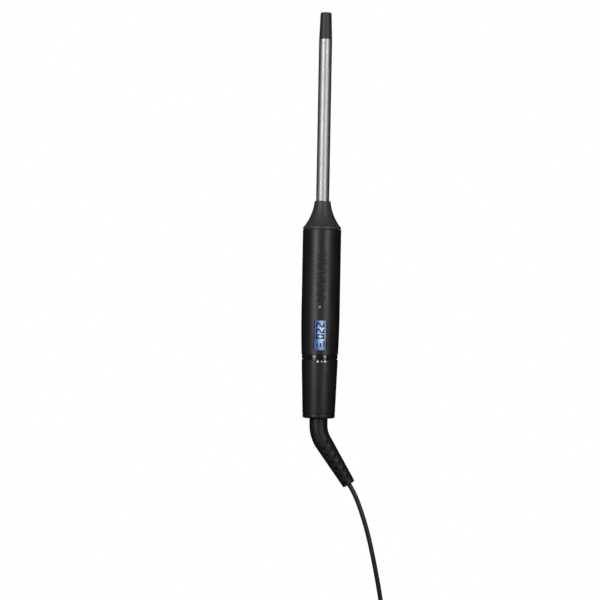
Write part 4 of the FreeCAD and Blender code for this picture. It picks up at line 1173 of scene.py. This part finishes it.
class ShellSkin:
    """Half of the casing's wall as a closed grid, with its edges eased and its parting line relieved."""

    def __init__(self, front):
        self.front = front
        self.edge = 0.35 * MM
        self.half, self.low, self.high = window_reach()
        heights = [SHELL_LOW + self.edge * share for share in (0.0, 0.1, 0.3, 0.6, 1.0)]
        heights += [SHELL_HIGH - self.edge * share for share in (1.0, 0.6, 0.3, 0.1, 0.0)]
        heights += self.run(heights[4], self.low, 6) + self.run(self.low, self.high, 24)
        heights += self.run(self.high, SHELL_STRAIGHT_FROM, 6)
        heights += self.run(MOTIF_ZONE_HIGH, heights[5], 20)
        heights += self.run(SHELL_STRAIGHT_FROM, MOTIF_ZONE_HIGH, 330 if front else 44)
        self.heights = sorted(set(round(height, 8) for height in heights))
        inner = 15 if front else 22
        outer = 20 if front else 22
        near = [-1 + step / inner for step in range(2 * inner + 1)]
        fine = 3.6 / 4.95
        if front:
            near = [-1, -0.93, -0.86, -0.79] + [-fine + 2 * fine * step / 48 for step in range(49)]
            near += [0.79, 0.86, 0.93, 1]
        away = [1 + step / outer for step in range(1, outer)] + [1.985, 2.0]
        self.columns = [-place for place in reversed(away)] + near + away

    def run(self, start, end, parts):
        """Even steps from one height to another."""
        return [start + (end - start) * step / parts for step in range(parts + 1)]

    def angle(self, column, height):
        """How far round from the middle of this half a column stands at a height."""
        reach = skin_radius(height)
        edge = math.asin(self.half / reach)
        if abs(column) <= 1:
            return math.asin(column * self.half / reach)
        return math.copysign(edge + (math.pi / 2 - edge) * (abs(column) - 1), column)

    def outer_reach(self, column, height):
        """The outside radius, eased at both ends and at the parting line."""
        reach = skin_radius(height)
        for end in (SHELL_LOW, SHELL_HIGH):
            away = abs(height - end)
            if away < self.edge:
                reach -= self.edge - math.sqrt(self.edge ** 2 - (self.edge - away) ** 2)
        if abs(column) == 2.0:
            reach -= 0.16 * MM
        return reach

    def spot(self, column, height, inner):
        """A point of the wall's outside or inside."""
        angle = self.angle(column, height)
        side = -1 if self.front else 1
        if not inner:
            reach = self.outer_reach(column, height)
            return Vector((reach * math.sin(angle), side * reach * math.cos(angle), at(height)))
        reach = SHELL_BORE if height > 49.2 * MM else RUNNING_BORE
        x, y = reach * math.sin(angle), reach * math.cos(angle)
        margin = 1.1 * MM
        if self.front and abs(x) < 6.25 * MM and self.low - margin < height < self.high + margin:
            y = 11.95 * MM
        return Vector((x, side * y, at(height)))

    def mesh(self, name):
        """The two grids, the window left open, joined along every rim."""
        wide, tall = len(self.columns), len(self.heights)
        points = [self.spot(column, height, inner) for inner in (False, True)
                  for height in self.heights for column in self.columns]
        faces = []
        for row in range(tall - 1):
            for step in range(wide - 1):
                corner = row * wide + step
                middle_column = (self.columns[step] + self.columns[step + 1]) / 2
                middle_height = (self.heights[row] + self.heights[row + 1]) / 2
                if self.front and abs(middle_column) < 1 and self.low < middle_height < self.high:
                    continue
                quad = [corner, corner + 1, corner + wide + 1, corner + wide]
                faces.append(quad)
                faces.append([index + wide * tall for index in reversed(quad)])
        made = bpy.data.meshes.new(name)
        made.from_pydata([tuple(point) for point in points], [], faces)
        work = bmesh.new()
        work.from_mesh(made)
        work.verts.ensure_lookup_table()
        rims = [[vert.index for vert in edge.verts] for edge in work.edges
                if edge.is_boundary and all(vert.index < wide * tall for vert in edge.verts)]
        for first, second in rims:
            work.faces.new([work.verts[index] for index in
                            (first, second, second + wide * tall, first + wide * tall)])
        loose = [vert for vert in work.verts if not vert.link_faces]
        bmesh.ops.delete(work, geom=loose, context="VERTS")
        bmesh.ops.recalc_face_normals(work, faces=work.faces)
        work.to_mesh(made)
        work.free()
        return made


def carve(context, shell, operation, x, height, start, end, radius):
    """Adds or takes away a round bar that lies along the front-to-back axis; sizes in millimetres."""
    steps = 40
    points = []
    for y in (start, end):
        for step in range(steps):
            angle = 2 * math.pi * (step + 0.5) / steps
            points.append(((x + radius * math.cos(angle)) * MM, y * MM,
                           at((height + radius * math.sin(angle)) * MM)))
    bar = bpy.data.objects.new("carver", mesh_of("carver", points, capped(2, steps)))
    context.scene.collection.objects.link(bar)
    bar.hide_render = True
    change = shell.modifiers.new("carve", "BOOLEAN")
    change.operation = operation
    change.object = bar
    change.solver = "EXACT"


def carved(shell, name):
    """The shell's mesh with all its round bars worked out."""
    made = applied(shell)
    made.name = name
    for tool in [item for item in bpy.data.objects if item.name.startswith("carver")]:
        bpy.data.objects.remove(tool)
    return smoothed(made, math.radians(35))


class WAND_OT_front_shell(bpy.types.Operator):
    """Makes the front casing shell, with its window opening and its column of pressed strokes"""
    bl_idname = "wand.front_shell"
    bl_label = "Front shell"

    def execute(self, context):
        sizes = context.scene.wand_sizes
        mesh = ShellSkin(True).mesh("front_skin")
        made = run_group("front_skin", mesh, self.motif_tree(), {
            "Depth": sizes.motif_depth, "Low": at(sizes.motif_low), "Pitch": sizes.motif_pitch,
            "Length": sizes.motif_width, "Stroke": sizes.motif_stroke, "Lean": sizes.motif_lean,
            "Count": sizes.motif_count, "Finish": MATERIALS["casing"]})
        shell = bpy.data.objects.new("front_worker", made)
        context.scene.collection.objects.link(shell)
        for x, height, seat in SCREWS:
            carve(context, shell, "UNION", x, height, -seat - BOSS_WALL, -0.05, BOSS_RADIUS)
            carve(context, shell, "DIFFERENCE", x, height, -6.0, 0.5, SCREW_BORE)
        carve(context, shell, "DIFFERENCE", sizes.lamp_x / MM, sizes.lamp_height / MM, -16.0, -9.0,
              sizes.lamp_radius / MM + 0.05)
        new_piece("front_skin", carved(shell, "front_skin"), None, "handle", "soft_touch_black",
                  "front_shell")
        return {"FINISHED"}

    def motif_tree(self):
        """Presses in a column of strokes that lean alternately left and right."""
        tree, given = node_group(
            "pressed_motif", ("Depth", "Low", "Pitch", "Length", "Stroke", "Lean"), "Count")
        place = tree.nodes.new("GeometryNodeInputPosition")
        parts = add_node(tree, "ShaderNodeSeparateXYZ", Vector=place.outputs["Position"])
        x, y, z = (Term(tree, parts.outputs[axis]) for axis in "XYZ")
        pitch = given.outputs["Pitch"]
        stroke = ((z - given.outputs["Low"]) / pitch + 0.5).do("FLOOR")
        above = z - given.outputs["Low"] - stroke * pitch
        odd = (stroke * 0.5).do("FRACT") * -4.0 + 1.0
        lean = odd * given.outputs["Lean"]
        along = x * lean.do("COSINE") + above * lean.do("SINE")
        across = above * lean.do("COSINE") - x * lean.do("SINE")
        ease = 0.14 * MM
        half_length = Term(tree, given.outputs["Length"]) * 0.5
        half_stroke = Term(tree, given.outputs["Stroke"]) * 0.5
        inside = ((half_length - along.size()) / ease + 0.5).clamped()
        inside = inside * ((half_stroke - across.size()) / ease + 0.5).clamped()
        count = Term(tree, given.outputs["Count"])
        inside = inside * stroke.do("GREATER_THAN", -0.5) * stroke.below(count - 0.5)
        reach = (x * x + y * y).do("SQRT")
        inside = inside * reach.do("GREATER_THAN", SHELL_RADIUS - 0.6 * MM) * y.below(0.0)
        sink = inside * given.outputs["Depth"] / reach * -1.0
        push = tree.nodes.new("ShaderNodeCombineXYZ")
        put(tree, push.inputs["X"], x * sink)
        put(tree, push.inputs["Y"], y * sink)
        end_in_push(tree, given, push)
        return tree


class WAND_OT_rear_shell(bpy.types.Operator):
    """Makes the rear casing shell with its three recessed screw holes"""
    bl_idname = "wand.rear_shell"
    bl_label = "Rear shell"

    def execute(self, context):
        mesh = ShellSkin(False).mesh("rear_skin")
        shell = bpy.data.objects.new("rear_worker", mesh)
        context.scene.collection.objects.link(shell)
        for x, height, seat in SCREWS:
            carve(context, shell, "UNION", x, height, 0.3, seat + BOSS_WALL, BOSS_RADIUS)
            carve(context, shell, "DIFFERENCE", x, height, seat, 17.0, SCREW_RECESS)
            carve(context, shell, "DIFFERENCE", x, height, -1.0, seat + 1.0, SCREW_BORE)
        new_piece("rear_skin", carved(shell, "rear_skin"), "casing", "handle", "soft_touch_black",
                  "rear_shell")
        return {"FINISHED"}


# ------------------------------------------------------------------------------------ the display

class WAND_OT_display(bpy.types.Operator):
    """Makes the clear window and the dark digits and bars on the lit glass behind it"""
    bl_idname = "wand.display"
    bl_label = "Display"

    # Which of the seven bars each digit uses: top, upper right, lower right, bottom, lower left,
    # upper left, middle.
    bars = {"0": (1, 1, 1, 1, 1, 1, 0), "2": (1, 1, 0, 1, 1, 0, 1)}
    digits_left = -3.3

    def execute(self, context):
        self.window()
        self.segments()
        self.lens(context.scene.wand_sizes)
        return {"FINISHED"}

    def lens(self, sizes):
        """The lamp's light pipe: a round bar with a flange and a slightly domed face, laid front to back."""
        radius, foot, seat = sizes.lamp_radius, 5.2 * MM, 11.9 * MM
        face = skin_radius(sizes.lamp_height) - 0.06 * MM
        outline = [(0.0, foot, 0), (radius, foot, 0), (radius, seat - 0.8 * MM, 0),
                   (radius + 0.5 * MM, seat - 0.8 * MM, 0), (radius + 0.5 * MM, seat, 0), (radius, seat, 0),
                   (radius, face - 0.1 * MM, 0.12 * MM), (radius * 0.6, face - 0.02 * MM, 0), (0.0, face, 0)]
        mesh = turned("indicator_lens", outline, 48)
        for vert in mesh.vertices:
            x, y, reach = vert.co.x, vert.co.y, vert.co.z - at(0.0)
            vert.co = (sizes.lamp_x + x, -reach, at(sizes.lamp_height) + y)
        new_piece("indicator_lens", mesh, "lens", "handle", "light_guide", "indicator_pipe")

    def window(self):
        """The clear pane: curved in front, flat behind."""
        half, low, high = window_reach()
        half, low, high = half - WINDOW_GAP, low + WINDOW_GAP, high - WINDOW_GAP
        back = 11.93 * MM
        wide, tall = 40, 50
        points, faces = [], []
        for layer in (0, 1):
            for row in range(tall + 1):
                height = low + (high - low) * row / tall
                for step in range(wide + 1):
                    x = -half + 2 * half * step / wide
                    reach = skin_radius(height) - 0.12 * MM
                    y = back if layer else math.sqrt(reach ** 2 - x ** 2)
                    points.append((x, -y, at(height)))
        count = (wide + 1) * (tall + 1)
        rim = []
        for row in range(tall):
            for step in range(wide):
                corner = row * (wide + 1) + step
                quad = [corner, corner + 1, corner + wide + 2, corner + wide + 1]
                faces.append(quad)
                faces.append([index + count for index in reversed(quad)])
        rim += [(step, step + 1) for step in range(wide)]
        rim += [(tall * (wide + 1) + step + 1, tall * (wide + 1) + step) for step in range(wide)]
        rim += [((row + 1) * (wide + 1), row * (wide + 1)) for row in range(tall)]
        rim += [(row * (wide + 1) + wide, (row + 1) * (wide + 1) + wide) for row in range(tall)]
        faces += [(second, first, first + count, second + count) for first, second in rim]
        new_piece("window_pane", mesh_of("window_pane", points, faces, math.radians(30)), "window", "handle",
                  "window_clear", "display_window")

    def segments(self):
        """The digits are read with the wand laid on its side, so their tops point to the right."""
        points, faces = [], []
        wide, tall, bar, gap = 3.6, 6.3, 1.22, 0.05
        middle = tall / 2
        left, right = bar / 2, wide - bar / 2
        lines = ((left, tall - bar / 2, right, tall - bar / 2), (right, tall - bar / 2, right, middle),
                 (right, middle, right, bar / 2), (left, bar / 2, right, bar / 2),
                 (left, middle, left, bar / 2), (left, tall - bar / 2, left, middle),
                 (left, middle, right, middle))
        centre = Vector((wide / 2, middle))
        for digit, top in (("2", 72.6), ("2", 68.1), ("0", 63.9)):
            for used, (x1, y1, x2, y2) in zip(self.bars[digit], lines):
                if used:
                    self.bar(points, faces, top, (x1, y1), (x2, y2), bar / 2, gap, centre)
        for x, low, high in ((-2.3, 54.2, 56.6), (0.4, 54.1, 57.2), (2.8, 54.3, 58.8)):
            outline = [(x - 0.52, low), (x + 0.52, low), (x + 0.52, high), (x - 0.52, high)]
            self.plate(points, faces, outline)
        new_piece("display_digits", mesh_of("display_digits", points, faces), "digits", "handle", "lcd_blue")

    def bar(self, points, faces, top, start, end, half, gap, centre):
        """One bar of a digit, in the digit's own across and up: mitred where two outer bars meet, square
        where it stops at the middle bar, and pointed when it is the middle bar."""
        first, last = Vector(start), Vector(end)
        way = (last - first).normalized()
        out = Vector((-way.y, way.x)) * half
        aside = out.dot(first - centre)
        if aside < 0:
            out = -out
        reaches = [0.0 if abs(place.y - centre.y) < 1e-6 else half for place in (first, last)]
        first, last = first + way * gap, last - way * gap
        if abs(aside) < 1e-6:
            corners = [first, first + way * half + out, last - way * half + out, last,
                       last - way * half - out, first + way * half - out]
        else:
            corners = [first - way * reaches[0] + out, last + way * reaches[1] + out,
                       last - way * half - out, first + way * half - out]
        self.plate(points, faces, [(self.digits_left + corner.y, top - corner.x) for corner in corners])

    def plate(self, points, faces, outline):
        """A thin plate on the lit glass, from (x, height) points in millimetres."""
        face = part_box("lcd_glass")[0].y
        base = len(points)
        for lift in (0.012, 0.035):
            points.extend((x * MM, face - lift * MM, at(height * MM)) for x, height in outline)
        faces.extend([base + index for index in face] for face in capped(2, len(outline)))


# ---------------------------------------------------------------------------------- the twist grip

def sleeve_radius(height):
    """The twist sleeve's outside radius."""
    foot, top = 4.0 * MM, 44.1 * MM
    share = min(1.0, max(0.0, (height - foot) / (top - foot)))
    return 12.4 * MM + 1.4 * MM * share


class WAND_OT_twist_grip(bpy.types.Operator):
    """Makes the gloss ring, the twist sleeve with its printed marks and the tail cap, lapped at their gaps"""
    bl_idname = "wand.twist_grip"
    bl_label = "Twist grip"

    def execute(self, context):
        low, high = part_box("trim_ring")
        foot, top = low.z - HANDLE_FOOT, high.z - HANDLE_FOOT
        bore, lip, room = RUNNING_BORE, 0.6 * MM, 0.2 * MM
        reach, low_reach = 13.25 * MM, 11.85 * MM
        ring = turned("ring_skin", [
            (bore, top, 0), (bore, foot, 0), (reach - room - lip, foot, 0),
            (reach - room - lip, foot - LAP_HIGH, 0), (reach - room, foot - LAP_HIGH, 0),
            (reach - room, foot, 0), (high.x, foot, 0.2 * MM),
            (high.x + 0.12 * MM, (foot + top) / 2, 1.4 * MM), (high.x, top, 0.35 * MM)], 160)
        new_piece("ring_skin", ring, "ring", "handle", "gloss_black", "trim_ring")
        low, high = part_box("twist_sleeve")
        foot, top = low.z - HANDLE_FOOT, high.z - HANDLE_FOOT
        sleeve = turned("sleeve_skin", [
            (reach, top, 0), (reach, top - LAP_HIGH, 0), (12.2 * MM, top - LAP_HIGH, 0),
            (12.2 * MM, 36.0 * MM, 0),
            (11.0 * MM, 36.0 * MM, 0), (11.0 * MM, 8.0 * MM, 0), (bore, 8.0 * MM, 0), (bore, foot, 0),
            (low_reach - lip - 2 * room, foot, 0), (low_reach - lip - 2 * room, foot + LAP_HIGH, 0),
            (low_reach, foot + LAP_HIGH, 0), (low_reach, foot, 0), (sleeve_radius(foot), foot, 0.4 * MM),
            (sleeve_radius(top), top, 0.25 * MM)], 160)
        new_piece("sleeve_skin", sleeve, "grip", "twist_control", "soft_touch_black", "twist_sleeve")
        self.marks(context.scene.wand_sizes.print_thickness)
        low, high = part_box("tail_cap")
        radius, top = high.x, high.z - HANDLE_FOOT
        cap = turned("cap_skin", [
            (5.4 * MM, top, 0), (5.4 * MM, 0, 0.2 * MM), (radius, 0, 1.5 * MM), (radius, top, 0.12 * MM),
            (low_reach - room, top, 0), (low_reach - room, top + LAP_HIGH, 0),
            (low_reach - room - lip, top + LAP_HIGH, 0), (low_reach - room - lip, top, 0)], 160)
        new_piece("cap_skin", cap, "grip", "handle", "soft_touch_black", "tail_cap")
        return {"FINISHED"}

    def marks(self, thickness):
        """Two arrowheads and a dot, printed round the sleeve; sizes in millimetres."""
        points, faces = [], []
        middle = 43.3
        self.mark(points, faces, middle, -2.7, -1.0, lambda share: 1.0 * share, thickness)
        self.mark(points, faces, middle, 0.87, 1.93, lambda share: 0.53 * math.sqrt(1 - (2 * share - 1) ** 2),
                  thickness)
        self.mark(points, faces, middle, 3.4, 5.1, lambda share: 1.0 * (1 - share), thickness)
        new_piece("sleeve_marks", mesh_of("sleeve_marks", points, faces), "marks", "twist_control",
                  "holder_cream")

    def mark(self, points, faces, middle, start, end, half, thickness):
        """A shape whose half height follows a rule from its left to its right end."""
        steps = 24
        base = len(points)
        for step in range(steps + 1):
            share = step / steps
            x = (start + (end - start) * share) * MM
            tall = max(0.01, half(share)) * MM
            for height, lift in ((middle * MM - tall, thickness), (middle * MM + tall, thickness),
                                 (middle * MM + tall, -0.05 * MM), (middle * MM - tall, -0.05 * MM)):
                reach = sleeve_radius(height) + lift
                points.append((x, -math.sqrt(reach ** 2 - x ** 2), at(height)))
        for step in range(steps):
            first, second = base + 4 * step, base + 4 * step + 4
            for side in range(4):
                following = (side + 1) % 4
                faces.append((first + side, second + side, second + following, first + following))
        faces.append([base + side for side in range(4)])
        faces.append([base + 4 * steps + side for side in reversed(range(4))])


# ------------------------------------------------------------------------------------- the insides

FINISH_OF_NODE = {
    "tip_insulator": "ceramic", "heater_plate": "ceramic", "heater_spreader_front": "alloy",
    "heater_spreader_rear": "alloy", "temperature_sensor": "silicone", "heater_leads": "silicone",
    "barrel_holder": "resin", "holder_screws": "screw", "shell_screws": "screw", "lcd_glass": "lit",
    "lcd_backlight": "guide", "indicator_lamp": "lamp", "lcd_frame": "inner", "control_board": "board",
    "controller_chip": "component", "power_triac": "component", "capacitors": "blue_sleeve",
    "thermal_fuse": "silicone", "spine": "inner", "contact_board": "board", "centring_spring": "spring",
    "swivel_socket": "inner", "brush_contacts": "brass", "swivel_leads": "silicone",
    "twist_carrier": "inner", "contact_wipers": "brass", "swivel_hub": "inner", "slip_rings": "brass",
}


class WAND_OT_insides(bpy.types.Operator):
    """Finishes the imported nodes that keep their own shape"""
    bl_idname = "wand.insides"
    bl_label = "Inner parts"

    def execute(self, context):
        for name, finish in FINISH_OF_NODE.items():
            node = frame["nodes"][name]
            for slot in node.material_slots:
                slot.material = MATERIALS[finish]
            if not node.material_slots:
                raise RuntimeError(name + " has no material slot")
        return {"FINISHED"}


class WAND_PT_finish(bpy.types.Panel):
    """The wand's pieces and their sizes"""
    bl_idname = "WAND_PT_finish"
    bl_label = "Curling wand"
    bl_space_type = "VIEW_3D"
    bl_region_type = "UI"
    bl_category = "Wand"

    def draw(self, context):
        column = self.layout.column()
        for operator in OPERATORS:
            column.operator(operator.bl_idname)
        for group in (context.scene.wand_sizes, context.scene.wand_finishes, context.scene.wand_stage):
            box = self.layout.box()
            for key in group.bl_rna.properties.keys():
                if key not in ("rna_type", "name"):
                    box.prop(group, key)


OPERATORS = (WAND_OT_stage, WAND_OT_strap, WAND_OT_plug, WAND_OT_cord, WAND_OT_boot, WAND_OT_barrel,
             WAND_OT_collar, WAND_OT_front_shell, WAND_OT_rear_shell, WAND_OT_display, WAND_OT_twist_grip,
             WAND_OT_insides)
GROUPS = (WandSizes, WandFinishes, WandStage)


def register():
    """Adds the operators, panel and settings."""
    for kind in GROUPS + OPERATORS + (WAND_PT_finish,):
        bpy.utils.register_class(kind)
    bpy.types.Scene.wand_sizes = bpy.props.PointerProperty(type=WandSizes)
    bpy.types.Scene.wand_finishes = bpy.props.PointerProperty(type=WandFinishes)
    bpy.types.Scene.wand_stage = bpy.props.PointerProperty(type=WandStage)


def unregister():
    """Takes them away again."""
    del bpy.types.Scene.wand_stage
    del bpy.types.Scene.wand_finishes
    del bpy.types.Scene.wand_sizes
    for kind in reversed(GROUPS + OPERATORS + (WAND_PT_finish,)):
        bpy.utils.unregister_class(kind)


def main():
    """Makes every piece in turn."""
    register()
    MATERIALS.update(make_materials(bpy.context.scene.wand_finishes))
    for operator in OPERATORS:
        group, name = operator.bl_idname.split(".")
        getattr(getattr(bpy.ops, group), name)()


if __name__ == "__main__":
    main()
